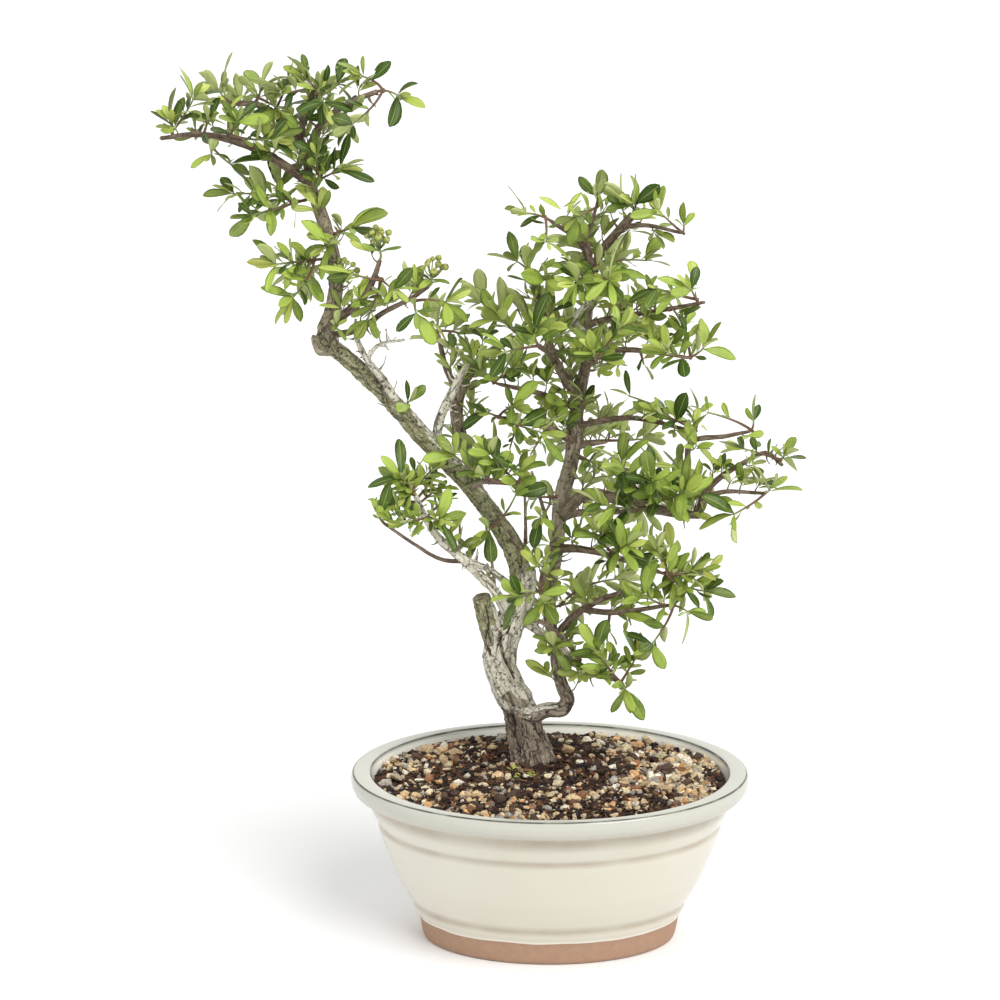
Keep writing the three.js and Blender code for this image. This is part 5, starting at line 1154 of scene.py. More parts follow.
def barked(places, near, edges, sizes):
    """Bark relief and marks for corners, from each one's nearest curve sample."""
    radius, arc, way, number = near[:, 3], near[:, 4], near[:, 5:8], near[:, 14].astype(int)
    limb = np.array(list(STOUT_LIMBS))[number]
    is_trunk, is_stub, is_elbow = limb == "trunk", limb == "cut_stub", limb == "elbow_limb"
    offset = places - near[:, 0:3]
    across, up = (offset * near[:, 8:11]).sum(1), (offset * near[:, 11:14]).sum(1)
    reach = np.maximum(np.hypot(across, up), 1e-6)
    around = np.stack([across / reach * radius, up / reach * radius, 0.28 * arc + 40 * number], 1)

    def by_height(low, high):
        return smooth_step(low, high, places[:, 2])

    bleach, lichen, youth = np.array([weather_of(name) for name in STOUT_LIMBS])[number].T
    bleach = np.where(is_trunk, bleach * by_height(140, 158) + 0.02, bleach)
    bleach = np.where(is_elbow, bleach * (0.8 + 0.2 * by_height(245, 200)), bleach)
    lichen = np.where(is_elbow, lichen * (0.6 + 0.4 * by_height(260, 215)), lichen)
    youth = np.where(is_elbow, 0.1 * by_height(215, 250) + 0.6 * by_height(390, 470), youth)
    youth = np.where(limb == "upper_limb", 0.75 * by_height(410, 490), youth)
    upward = offset[:, 2] / reach
    # painted light from above: bleached old limbs get more bleach on their upper side and less on their
    # underside
    painted_light_from_above = np.where((bleach * (1 - youth) > 0.2) & ~is_trunk, upward, 0)
    facing = smooth_step(0.15, -0.4, offset[:, 1] / reach) * (is_trunk | is_stub)
    scar_rise, scar_bleach, scar_depth = scars_at(places, facing)
    # the leaning limb's streak is paler on its upper side only: partly bleached wood, partly painted light
    # from above
    streak = by_height(285, 300) * by_height(352, 338) * (limb == "leaning_limb")
    scar_bleach = scar_bleach + 0.5 * streak * smooth_step(0.2, 0.7, upward)
    bleach, lichen, youth = evened(np.stack([bleach + 0.22 * painted_light_from_above, lichen, youth], 1), edges, 24).T
    ridges = ridged(around * 0.16, 3, 1) * 0.65 + ridged(around * 0.42, 2, 6) * 0.35
    bumps = layered(places * 0.35, 3, 8) - 0.5
    flakes = ridged(around * vec(1, 1, 1.6) * 0.9, 2, 12) - 0.6
    old = 1 - 0.65 * youth
    raise_by = (radius * sizes.furrows * (ridges - 0.62) * old + 1.1 * bumps * np.minimum(1, radius / 5)
                + 0.7 * flakes * old * np.minimum(1, radius / 6) + scar_rise)
    places = places + offset * (np.maximum(raise_by, -0.3 * radius) / reach)[:, None]
    # the stub's cut end is flat
    past_end = np.where(is_stub & (arc > 0.99 * arc[is_stub].max()), (offset * way).sum(1), -1)
    places = places - way * np.maximum(past_end - 0.6, 0)[:, None]
    cut = smooth_step(0.0, 0.6, past_end) * smooth_step(1, 0.82, reach / radius)
    return places, {"grain": around * 0.001, "bleach": bleach + scar_bleach, "lichen": lichen, "youth": youth,
                    "depth": np.clip(ridges + 0.5 * flakes + scar_depth, 0, 1), "cut": cut}


def slim_tube(path, sides, end_reach, number, traits, wobble=0.12):
    """A thin limb: a tube with a knobbly radius, and its marks."""
    places, radii, arc = curve_through(path, 2.2)
    turns, arc = turns_round(sides), arc[:, None]
    knobs = 1 + wobble * (2 * layered(wrapped(1.2, turns, arc / 3 + number * 7), 2, 4) - 1)
    corners, faces = tube(places, radii, sides, knobs, end_reach)
    grain = grain_marks(radii[:, None], turns, 0.28 * arc + 40 * number)
    return corners, faces, grain, *(np.full(len(corners), value) for value in (*traits, 0.75, 0.0))


def build_branches(sizes):
    """The thin limbs, and thorns and dead twigs: narrow tubes that taper to a point."""
    parts = [slim_tube(path, 11, 0.6, number, weather_of(name))
             for number, (name, path) in enumerate(LIMBS.items()) if name not in STOUT_LIMBS]
    rng = np.random.default_rng(47)
    for number, (name, count) in enumerate(THORNY_LIMBS.items()):
        places, radii, arc = curve_through(LIMBS[name], 2)
        way, side, up = curve_axes(places)
        first = np.searchsorted(arc, 10)
        bleach, _, youth = weather_of(name)
        for k in range(count):
            at = rng.integers(first, len(places) - 1)
            turn = rng.uniform(0, 2 * math.pi)
            out = side[at] * math.cos(turn) + up[at] * math.sin(turn)
            length = sizes.thorn_length * 1000 * rng.uniform(0.5, 1.5)
            lean = way[at] * rng.uniform(0, 0.5) + vec(0, 0, 0.15)
            foot = places[at] + out * radii[at] * 0.5
            bend, tip = foot + (out + lean * 0.4) * length * 0.55, foot + (out + lean) * length * 1.05
            thick = min(0.85, 0.35 * radii[at] + 0.2)
            path = [(*foot, thick * 1.3), (*bend, thick * 0.6), (*tip, 0.2)]
            parts.append(slim_tube(path, 6, 2, 100 + number + k, (bleach * 0.7, 0, youth), 0.05))
    for number, (path, youth) in enumerate(BARE_TWIGS):
        parts.append(slim_tube(path, 7, 1, 900 + number, (0.2, 0.1, youth), 0.08))
    corners, faces, *marks = joined(parts)
    marks = dict(zip(("grain", "bleach", "lichen", "youth", "depth", "cut"), marks))
    branches = mesh_piece("fine_branches", corners, faces, bark_finish(sizes), **marks)
    finish_piece(branches, "wood", "trunk_and_branches")


# Twigs, leaves and berries
def part_nodes(part):
    """The packed nodes of one part of the crown."""
    return ["spray_" + name for name in CROWN_PARTS[part]]


def build_twigs(sizes):
    """Six-sided tubes on each twig's curve, from inside the limb to its end, thinner and greener there."""
    twigs, shoots, _ = grown(sizes.leaf_length * 1000)
    turns = turns_round(6)
    for part, sprays in CROWN_PARTS.items():
        parts = []
        for number, (name, twig) in enumerate(twigs + shoots):
            if name not in sprays:
                continue
            # shoots are thinner and greener than twigs
            thick, stations, least_green = (1.0, 9, 0) if number < len(twigs) else (0.55, 4, 0.3)
            shares = np.linspace(0, 1, stations)
            line = np.array([twig.start - twig.out * 2.2] + [twig.along(share) for share in shares])
            corners, faces = tube(line, np.append(thick * 1.1, thick * (1 - 0.45 * shares)), 6, end_reach=1.2)
            arc = np.append(0, np.cumsum(np.linalg.norm(np.diff(line, axis=0), axis=1)))
            grain = grain_marks(1, turns, 0.3 * arc[:, None] + number * 5)
            green = np.append(np.repeat(smooth_step(0.45, 1.1, arc / arc[-1]), 6), [0, 0.7])
            parts.append((corners, faces, grain, np.maximum(green, least_green)))
        corners, faces, grain, youth = joined(parts)
        piece = mesh_piece(part + "_twigs", corners, faces, twig_finish(sizes), grain=grain, youth=youth)
        finish_piece(piece, "wood", *part_nodes(part))


LEAF_ALONG = vec(0, 0.1, 0.25, 0.45, 0.65, 0.82, 0.94, 1)
LEAF_ACROSS = vec(-1, -0.5, 0, 0.5, 1)


def leaf_faces():
    """Faces of one leaf: its top's grid, and an underside that shares the top's rim."""
    rows, columns = len(LEAF_ALONG), len(LEAF_ACROSS)
    top = np.arange(rows * columns).reshape(rows, columns)
    under = top.copy()
    under[1:-1, 1:-1] = rows * columns + np.arange((rows - 2) * (columns - 2)).reshape(rows - 2, columns - 2)
    top, under = (np.stack([grid[:-1, :-1], grid[1:, :-1], grid[1:, 1:], grid[:-1, 1:]], -1).reshape(-1, 4)
                  for grid in (top, under))
    return np.concatenate([top, under[:, ::-1]])


def leaf_shapes(leaves, width_ratio, rng):
    """Every leaf at once: at t along and u across, foot + L t out + u half edge + rise face, where
    half = W / 2 t^0.76 (1 - t^2.6)^sharpness over its peak, and rise = fold |u| half + wave - droop L t^2.
    The underside lies 0.32 (1 - u^2) lower. Each blade is turned about its length to face up and out."""
    count = len(leaves)
    foot, out, face = (np.array([leaf[key] for leaf in leaves]) for key in ("foot", "out", "face"))
    front = np.tanh((foot[:, 1] - 6) / 14)[:, None]
    lit = vec(0, 0, 0.55) + front * vec(0, 0.75, 0) + face * 0.4 + rng.normal(0, 0.5, (count, 3))
    face = units(lit - out * (lit * out).sum(1, keepdims=True))
    foot, out, edge, face = (values[:, None, None] for values in (foot, out, np.cross(face, out), face))
    main = np.array([leaf.get("main", False) for leaf in leaves])
    own = np.array([SPRAY_FILLS.get(leaf.get("spray"), (1, 1))[1] for leaf in leaves])
    scale = np.where(main, rng.uniform(0.62, 1.02, count) * own, rng.uniform(0.78, 1.08, count))
    length = (np.array([leaf["length"] for leaf in leaves]) * scale)[:, None, None]
    t, u = LEAF_ALONG[None, :, None], LEAF_ACROSS[None, None, :]

    def each(low, high):
        return rng.uniform(low, high, (count, 1, 1))

    swell = t**0.76 * (1 - t**2.6)**each(0.48, 0.85) / 0.77
    half = length * width_ratio / 2 * each(0.7, 1.36) * np.maximum(swell * smooth_step(-0.06, 0.16, t), 0.05)
    twist = each(-0.5, 0.5) * t
    fold = each(0.02, 0.5)
    wave = each(0.0, 0.03) * length * np.sin(5 * t + each(0, 6)) * u**2 * smooth_step(0, 0.3, t)
    rise = fold * np.abs(u) * half + wave - LEAF_DROOP * each(0.3, 1.7) * length * t**2
    across = u * half * np.cos(twist) - rise * np.sin(twist) + each(-0.1, 0.1) * length * t**2
    lift = u * half * np.sin(twist) + rise * np.cos(twist)
    along = length * t * each(0.96, 1.04)
    tops = foot + along[..., None] * out + across[..., None] * edge + lift[..., None] * face
    inner = tops[:, 1:-1, 1:-1] - face * (0.32 * (1 - u[:, :, 1:-1]**2))[..., None]
    return np.concatenate([tops.reshape(count, -1, 3), inner.reshape(count, -1, 3)], 1)


def leaf_piece(name, leaves, material, width_ratio, seed):
    """One mesh of many leaves, with marks for each leaf's tint and age and for its under side."""
    rng = np.random.default_rng(seed)
    shapes = leaf_shapes(leaves, width_ratio, rng)
    count, size = shapes.shape[:2]
    one = leaf_faces()
    grid = np.stack(np.broadcast_arrays(0.5 + LEAF_ACROSS[None, :] / 2, LEAF_ALONG[:, None]), -1)
    uv = np.concatenate([grid.reshape(-1, 2), grid[1:-1, 1:-1].reshape(-1, 2)])
    # the crown's top has more dark leaves: partly their own darker green, partly painted shade among them
    tint = np.repeat(rng.uniform(0, 1, count)**(3 if name.startswith("upper") else 1), size)
    age = np.repeat([leaf["age"] for leaf in leaves], size)
    under = np.tile(np.repeat([0.0, 1.0], len(one) // 2), count)
    return mesh_piece(name, *copies(shapes, one), material, np.tile(uv, (count, 1)),
        tint=tint, age=age, under=under)


def build_leaves(sizes):
    """One piece of leaves for each part of the crown."""
    _, _, leaves = grown(sizes.leaf_length * 1000)
    material = leaf_finish(sizes)
    for number, (part, sprays) in enumerate(CROWN_PARTS.items()):
        own = [leaf for leaf in leaves if leaf["spray"] in sprays]
        piece = leaf_piece(part + "_leaves", own, material, sizes.leaf_width, 60 + number)
        finish_piece(piece, "leaf", *part_nodes(part))


def berry_skin():
    """A ball (sin p cos q, sin p sin q, 0.9 cos p) with a dented eye at +Z: its first ring is drawn out to
    five points by cos 5q, and its pole lies deeper."""
    p, q = vec(0.32, 0.55, 0.85, 1.25, 1.65, 2.05, 2.45, 2.8)[:, None], turns_round(15)
    r = np.ones((len(p), len(q)))
    r[0] = 0.92 + 0.24 * np.maximum(0, np.cos(5 * q))
    ball = np.stack([r * np.sin(p) * np.cos(q), r * np.sin(p) * np.sin(q), 0.9 * r * np.cos(p)], -1)
    corners, faces = closed_rings(ball, (0, 0, 0.72), (0, 0, -0.9))
    eye = np.zeros(len(corners))
    eye[:len(q)], eye[-2] = 0.8, 1
    return corners, [part[:, ::-1] for part in faces], eye


def build_berries(sizes):
    """Each cluster: berries on a dome about its middle, and stems that meet on the stalk."""
    material, stem_material = berry_finish(sizes), twig_finish(sizes)
    leaf_material = leaf_finish(bpy.context.scene.bonsai_crown)
    ball, faces, eye = berry_skin()
    for number, (name, (limb, middle, count)) in enumerate(BERRY_CLUSTERS.items()):
        rng = np.random.default_rng(80 + number)
        heart = vec(*middle)
        start, out = spring_from(LIMBS[limb], heart)
        foot = start + (heart - start) * 0.45
        up = unit(unit(heart - start) + vec(0, 0, 0.6))
        side = unit(cross(up, vec(0.3, 1, 0)))
        third = cross(up, side)
        k = np.arange(count)[:, None]
        lean, turn = np.arccos(1 - 0.95 * (k + 0.5) / count), k * GOLDEN_ANGLE
        rays = np.cos(lean) * up + np.sin(lean) * np.cos(turn) * side + np.sin(lean) * np.sin(turn) * third
        places = heart - up * 2 + rays * (CLUSTER_RADIUS + rng.uniform(-0.8, 1.6, (count, 1)))
        radii = sizes.berry_size * 500 * rng.uniform(0.72, 1.04, count)
        ways = units(places - foot)
        aside = units(np.cross(ways, vec(0.3, 0.2, 1)))
        axes = np.stack([aside, np.cross(ways, aside), ways], 1)
        shapes = places[:, None] + radii[:, None, None] * np.einsum("ck,nkj->ncj", ball, axes)
        tint = np.repeat(rng.uniform(0, 1, count), len(ball))
        berries = mesh_piece(name, *copies(shapes, *faces), material, eye=np.tile(eye, count), tint=tint)
        finish_piece(berries, "berry", name)
        stems = [tube(np.stack([start - out * 2, start + out * 0.3 * np.linalg.norm(foot - start), foot]),
                      vec(0.95, 0.85, 0.8), 6)]
        stems += [tube(np.stack([foot, (foot + place) / 2 - up * 0.8, place]), vec(0.5, 0.42, 0.4), 5)
                  for place in places]
        corners, walls = joined(stems)
        piece = mesh_piece(name + "_stems", corners, walls, stem_material,
            grain=corners * 0.001, youth=np.full(len(corners), 0.8))
        finish_piece(piece, "berry", name)
        collar = []
        for turn in np.arange(4) * math.pi / 2 + 0.6 + number:
            out = unit(side * math.cos(turn) + third * math.sin(turn) + up * rng.uniform(0.15, 0.5))
            collar.append(blade(start + (foot - start) * 0.75, out, unit(cross(up, out)), rng.uniform(11, 16),
                age=0.6))
        finish_piece(leaf_piece(name + "_collar", collar, leaf_material, 0.42, 90 + number), "leaf", name)


# The stage
def build_stage(sizes):
    """A wide pale floor, a pale world, soft lamps, and the camera."""
    scene = bpy.context.scene
    reach = 45000.0
    corners = vec((-reach, -reach, 0), (reach, -reach, 0), (reach, reach, 0), (-reach, reach, 0))
    finish = Finish("pale_floor")
    for name, value in (("Base Color", sizes.floor), ("Roughness", 0.9), ("Specular IOR Level", 0.1)):
        finish.feed(finish.shader.inputs[name], value)
    mesh_piece("floor", corners, [np.array([[0, 1, 2, 3]])], finish.material, smooth=False)
    scene.world = bpy.data.worlds.new("studio")
    scene.world.use_nodes = True
    background = scene.world.node_tree.nodes["Background"]
    background.inputs[0].default_value = (1, 1, 1, 1)
    background.inputs[1].default_value = sizes.surround
    for name, place, wide, strength in LAMPS:
        lamp = bpy.data.lights.new(name, "SUN")
        lamp.energy, lamp.angle = strength * sizes.lamps, math.radians(wide)
        x, y, z = place
        stand(name, lamp, place, (math.atan2(math.hypot(x, y), z), 0, math.atan2(x, -y)))
    lens = bpy.data.cameras.new("camera")
    lens.sensor_width, lens.lens, lens.clip_end = 36, sizes.lens, 200
    scene.camera = stand("camera", lens, CAMERA_PLACE, (math.pi / 2 - sizes.pitch, 0, 0))
    scene.view_settings.view_transform = "Standard"


def stand(name, data, place, turn):
    """A lamp or camera at a place, turned by Euler angles."""
    thing = bpy.data.objects.new(name, data)
    thing.location, thing.rotation_euler = to_frame(place), turn
    bpy.context.scene.collection.objects.link(thing)
    return thing


# Finishes
class Value:
    """What a node gives out. Sums with it add Math nodes."""

    def __init__(self, finish, socket):
        self.finish, self.socket = finish, socket

    def calc(self, operation, other):
        """What a Math node makes of this value and another."""
        return self.finish.node("Math", {0: self, 1: other}, operation=operation)

    __add__ = functools.partialmethod(calc, "ADD")
    __sub__ = functools.partialmethod(calc, "SUBTRACT")
    __mul__ = functools.partialmethod(calc, "MULTIPLY")

    def ranged(self, low, high, to_low=0.0, to_high=1.0):
        """A smooth ramp from one value to another, as this one goes from low to high."""
        inputs = {0: self, 1: low, 2: high, 3: to_low, 4: to_high}
        return self.finish.node("MapRange", inputs, interpolation_type="SMOOTHSTEP")


class Finish:
    """A material with one shader. Each method adds a node and gives its value."""

    def __init__(self, name):
        self.material = bpy.data.materials.new(name)
        self.material.use_nodes = True
        self.tree = self.material.node_tree
        self.tree.nodes.clear()
        self.shader = self.tree.nodes.new("ShaderNodeBsdfPrincipled")
        output = self.tree.nodes.new("ShaderNodeOutputMaterial")
        self.tree.links.new(self.shader.outputs[0], output.inputs[0])

    @functools.cached_property
    def place(self):
        """The place on the object."""
        return self.node("TexCoord", {}, "Object")

    def feed(self, socket, value):
        """Link a value to a socket, or set a number or colour on it."""
        if isinstance(value, Value):
            self.tree.links.new(value.socket, socket)
        elif socket.type == "RGBA":
            socket.default_value = (*value, 1)
        else:
            socket.default_value = value

    def node(self, kind, inputs, out=0, **settings):
        """Add a node with its settings and inputs, and give one of its outputs."""
        made = self.tree.nodes.new("ShaderNode" + kind)
        for name, value in settings.items():
            setattr(made, name, value)
        for socket, value in inputs.items():
            self.feed(made.inputs[socket], value)
        return Value(self, made.outputs[out])

    def mix(self, share, a, b, mode="MIX"):
        """Two colours mixed by a share."""
        return self.node("Mix", {0: share, 6: a, 7: b}, 2, data_type="RGBA", blend_type=mode)

    def mixed_number(self, share, a, b):
        """Two numbers mixed by a share."""
        return self.node("Mix", {0: share, 2: a, 3: b}, data_type="FLOAT")

    def noise(self, scale, detail=4, roughness=0.55, at=None, distortion=0.0, out=0):
        """Cloudy noise at the place on the object, or at another place."""
        inputs = {"Vector": at or self.place, "Scale": scale, "Detail": detail, "Roughness": roughness,
                  "Distortion": distortion}
        return self.node("TexNoise", inputs, out)

    def cells(self, scale, at=None, feature="F1"):
        """How far the nearest of many scattered points is, or the feature asked for."""
        return self.node("TexVoronoi", {"Vector": at or self.place, "Scale": scale}, feature=feature)

    def mark(self, name, out="Fac"):
        """A mark that the mesh carries."""
        return self.node("Attribute", {}, out, attribute_name=name)

    def done(self, colour, rough, height, depth):
        """The material, with its colour, its roughness, and bump of a depth in metres."""
        bump = self.node("Bump", {"Height": height, "Distance": depth, "Strength": 1})
        for name, value in (("Base Color", colour), ("Roughness", rough), ("Normal", bump)):
            self.feed(self.shader.inputs[name], value)
        return self.material


def glaze_finish(sizes):
    """Cream gloss glaze: cooler and darker at the rim, partly with painted shade and a painted cool
    reflection, a dark line on its edges, brown in the grooves, painted shade under the rim's lip, painted
    light on the inner wall, few specks, and bare clay below a wavy edge."""
    f = Finish("glaze")
    height = f.node("SeparateXYZ", {0: f.place}, 2)
    colour = f.mix(f.noise(9, 2).ranged(0.35, 0.65), sizes.glaze, sizes.glaze_shade)
    # the rim's cooler, darker glaze: partly its own tone, partly painted shade and a painted cool reflection
    # on the rolled lip
    colour = f.mix(height.ranged(0.086, 0.104) * 0.75, colour, sizes.rim)
    # painted light: the inner wall's glaze is made brighter than the rest, as if more light fell on it
    colour = f.mix(f.mark("inner"), colour, sizes.inside)
    specks = f.cells(95).ranged(0.075, 0.045) * f.noise(31, 1).ranged(0.66, 0.7)
    colour = f.mix(specks, colour, (0.12, 0.1, 0.08))
    # the groove mark darkens the grooves, and under the rim's lip it is painted shade
    groove_and_lip_shade = f.mark("groove_and_lip_shade") * f.noise(26, 3).ranged(0.3, 0.7, 0.4, 0.85)
    colour = f.mix(groove_and_lip_shade, colour, sizes.groove_and_lip_shade)
    line = f.mark("line").ranged(0.4, 0.85) * f.noise(60).ranged(0.3, 0.62, 0.55)
    colour = f.mix(line, colour, sizes.line)
    over_edge = height - (f.noise(24, 2) * 0.0035 + 0.0134)
    fringe = over_edge.ranged(0.0002, 0.0026, 1, 0) * 0.6
    colour = f.mix(fringe, colour, (0.86, 0.84, 0.76))
    clay = f.mix(f.noise(210, 5, 0.7), sizes.clay, sizes.clay_dark)
    glazed = over_edge.ranged(0, 0.0004)
    rough = f.mixed_number(glazed, 0.85, f.noise(40, 3) * 0.1 + 0.1)
    uneven = f.noise(34, 2) + f.noise(420, 2) * 0.05
    return f.done(f.mix(glazed, clay, colour), rough, uneven, 0.0009)


def soil_finish(sizes):
    """Dark crumbly peat: noise of three sizes, pale crumbs, and deep relief."""
    f = Finish("peat")
    crumbs = f.noise(330, 6, 0.7)
    colour = f.mix(crumbs.ranged(0.35, 0.7), sizes.peat, sizes.peat_light)
    pale = f.cells(420).ranged(0.2, 0.1) * f.noise(190, 2).ranged(0.55, 0.62)
    colour = f.mix(pale, colour, (0.42, 0.33, 0.2))
    return f.done(colour, 0.95, crumbs + f.cells(260), 0.002)


def grit_finish(name, rough, fine):
    """Stones and chips: each one's own colour, mottled by noise, with a grainy relief."""
    f = Finish(name)
    own = f.mark("tone", "Color")
    mottle = f.noise(fine, 5, 0.7)
    dark = f.mix(1, own, (0.42, 0.36, 0.32), "MULTIPLY")
    return f.done(f.mix(mottle.ranged(0.3, 0.62), dark, own), rough, mottle, 0.0007)


def bark_finish(sizes):
    """Bark that follows each limb: furrows dark at their bottom, lichen in patches, bleached dead wood in
    long streaks, and brown young bark with pale dots."""
    f = Finish("bark")
    along = f.mark("grain", "Vector")
    fibre = f.noise(380, 7, 0.75, along, 0.8)
    wide = f.noise(75, 5, 0.65, along)
    fine = f.noise(900, 4, 0.7)
    old = f.mix(fibre.ranged(0.38, 0.62), sizes.bark_dark, sizes.bark)
    old = f.mix(wide.ranged(0.5, 0.66, 0, 0.7), old, sizes.bark_pale)
    young = f.mix(fibre.ranged(0.4, 0.6), sizes.young_dark, sizes.young)
    young = f.mix(f.cells(420, along).ranged(0.26, 0.14) * 0.55, young, (0.46, 0.37, 0.29))
    youth = f.mark("youth")
    colour = f.mix(youth, old, young)
    patches = (f.noise(170, 6, 0.8) + f.mark("lichen")).ranged(0.96, 1.1)
    tuft = f.mix(f.noise(600).ranged(0.4, 0.6), sizes.lichen, sizes.lichen_pale)
    colour = f.mix(patches * 0.8, colour, tuft)
    bare = (f.noise(90, 6, 0.7, along) + f.mark("bleach")).ranged(0.93, 1.03)
    wood = f.mix(fibre.ranged(0.36, 0.52), sizes.deadwood_dark, sizes.deadwood)
    colour = f.mix(bare, colour, wood)
    # the cracks' lines wander, by noise that shakes their places
    shaken = {0: f.noise(260, 3, 0.5, out=1), 1: (0.0016, 0.0016, 0.0016), 2: along}
    plates = f.cells(210, f.node("VectorMath", shaken, operation="MULTIPLY_ADD"), "DISTANCE_TO_EDGE")
    cracked = youth * -0.8 + 1
    cracks = plates.ranged(0.09, 0) * cracked * wide.ranged(0.35, 0.6, 1, 0.35)
    colour = f.mix(cracks * 0.9, colour, sizes.furrow)
    pits = f.noise(430).ranged(0.59, 0.64) * cracked
    colour = f.mix(pits * 0.85, colour, (0.05, 0.04, 0.03))
    colour = f.mix(fine.ranged(0.3, 0.5, 0.4, 0), colour, sizes.bark_dark)
    colour = f.mix(f.mark("depth").ranged(0.5, 0.1, 0, 0.85), colour, sizes.furrow)
    cut_wood = f.mix(f.noise(300, 3), (0.2, 0.15, 0.1), (0.36, 0.28, 0.2))
    height = fibre + (wide + fine * 0.3) - cracks * 0.5 - pits * 0.5
    return f.done(f.mix(f.mark("cut"), colour, cut_wood), 0.82, height, 0.0022)


def leaf_finish(sizes):
    """Glossy leaves: each one's own green, yellower when young, pale midrib and edge, faint side veins,
    and a paler matt underside."""
    f = Finish("leaf")
    uv = f.node("UVMap", {}, uv_map="UVMap")
    across = (f.node("SeparateXYZ", {0: uv}) - 0.5).calc("ABSOLUTE", 0)
    up = f.node("SeparateXYZ", {0: uv}, 1)
    tint = f.mark("tint")
    mottle = tint + f.noise(110, 3) * 0.55
    veins = (up * 11 - across * 9).calc("PINGPONG", 0.5).ranged(0.06, 0)
    rib = across.ranged(0.04, 0.008)
    green = f.mix(mottle.ranged(0.3, 1.15), sizes.green_dark, sizes.green)
    pale = f.mix(mottle.ranged(0.3, 1.3), sizes.under, sizes.under_light)
    for share, colour in ((f.mark("age").ranged(0.62, 0.12), sizes.young),
                          (tint.ranged(0.985, 0.99) * 0.6, (0.34, 0.3, 0.06)), (veins * 0.2, sizes.rib),
                          (rib * 0.6, sizes.rib), (across.ranged(0.465, 0.495) * 0.35, sizes.rib)):
        green = f.mix(share, green, colour)
    under = f.mark("under")
    colour = f.mix(under, green, f.mix(rib * 0.6, pale, sizes.rib))
    f.shader.inputs["Specular IOR Level"].default_value = 0.32
    height = f.noise(700, 2) * 0.3 - (veins * 0.25 + rib * 0.9)
    return f.done(colour, f.mixed_number(under, 0.33, 0.6), height, 0.00025)


def twig_finish(sizes):
    """Leafy twigs: green at the tip, red-brown towards the limb, with fine lengthwise lines."""
    f = Finish("twig")
    fibre = f.noise(300, at=f.mark("grain", "Vector"))
    ripe = f.mix(fibre.ranged(0.3, 0.7), sizes.twig_dark, sizes.twig)
    soft = f.mix(fibre, sizes.twig_green, (0.22, 0.3, 0.1))
    return f.done(f.mix(f.mark("youth"), ripe, soft), 0.6, fibre, 0.0003)


def berry_finish(sizes):
    """Unripe berries: yellow-green with a paler cheek, fine dots and a brown eye."""
    f = Finish("berry")
    cheek = f.mark("tint") + f.noise(190, 2)
    colour = f.mix(cheek.ranged(0.5, 1.4), sizes.berry_dark, sizes.berry)
    colour = f.mix(f.cells(1500).ranged(0.25, 0.1) * 0.2, colour, (0.5, 0.52, 0.25))
    return f.done(f.mix(f.mark("eye") * 0.9, colour, sizes.eye), 0.35, f.noise(900, 3), 0.0002)


def net_finish(sizes):
    """Black plastic drain net, slightly dusty."""
    f = Finish("net")
    dust = f.noise(240)
    return f.done(f.mix(dust.ranged(0.45, 0.8), sizes.net, (0.09, 0.075, 0.06)), 0.6, dust, 0.0002)


# Settings that a user would change
def colour(name, description, *levels):
    """A colour setting whose default is given as screen levels from 0 to 255."""
    return FloatVectorProperty(name=name, description=description, subtype="COLOR", size=3, min=0, max=1,
        default=to_linear(levels).tolist())


def length(name, description, default):
    """A setting for a length in metres."""
    return FloatProperty(name=name, description=description, default=default, min=0, precision=4,
        unit="LENGTH")


def number(name, description, default):
    """A setting for a plain number."""
    return FloatProperty(name=name, description=description, default=default)


def how_many(name, description, default):
    """A setting for a count."""
    return IntProperty(name=name, description=description, default=default, min=1)


class BONSAI_PG_pot(bpy.types.PropertyGroup):
    """Glaze and clay of the pot."""

    glaze: colour("Glaze", "Cream of the glaze", 212, 208, 195)
    glaze_shade: colour("Glaze shade", "Glaze where it lies thicker", 208, 203, 188)
    # the rim's cooler, darker glaze: partly its own tone, partly painted shade and a painted cool reflection
    # on the rolled lip
    rim: colour("Rim", "Cooler glaze of the rim", 184, 184, 173)
    # painted light: this bright glaze on the inner wall stands in for light falling into the pot
    inside: colour("Inside", "Bright glaze of the inner wall", 252, 250, 240)
    line: colour("Edge line", "Dark line along the rim's edges", 66, 68, 62)
    # this colour is also the painted shade under the rim's lip
    groove_and_lip_shade: colour("Grooves", "Glaze in the grooves", 164, 150, 130)
    clay: colour("Clay", "Bare clay of the foot", 178, 145, 120)
    clay_dark: colour("Dark clay", "Darker grains of the clay", 150, 118, 96)
    net: colour("Nets", "Plastic of the drain nets", 28, 30, 34)


class BONSAI_PG_soil(bpy.types.PropertyGroup):
    """The soil and what lies on it."""

    peat: colour("Peat", "Dark of the soil", 36, 25, 17)
    peat_light: colour("Dry peat", "Lighter crumbs of the soil", 92, 66, 46)
    stone_count: how_many("Stones", "How many stones lie on the soil", 2700)
    stone_size: length("Stone radius", "Middling radius of the stones", 0.00235)
    chip_count: how_many("Chips", "How many bark chips lie on the soil", 7000)
    fibre_count: how_many("Fibres", "How many fibres lie on the soil", 260)


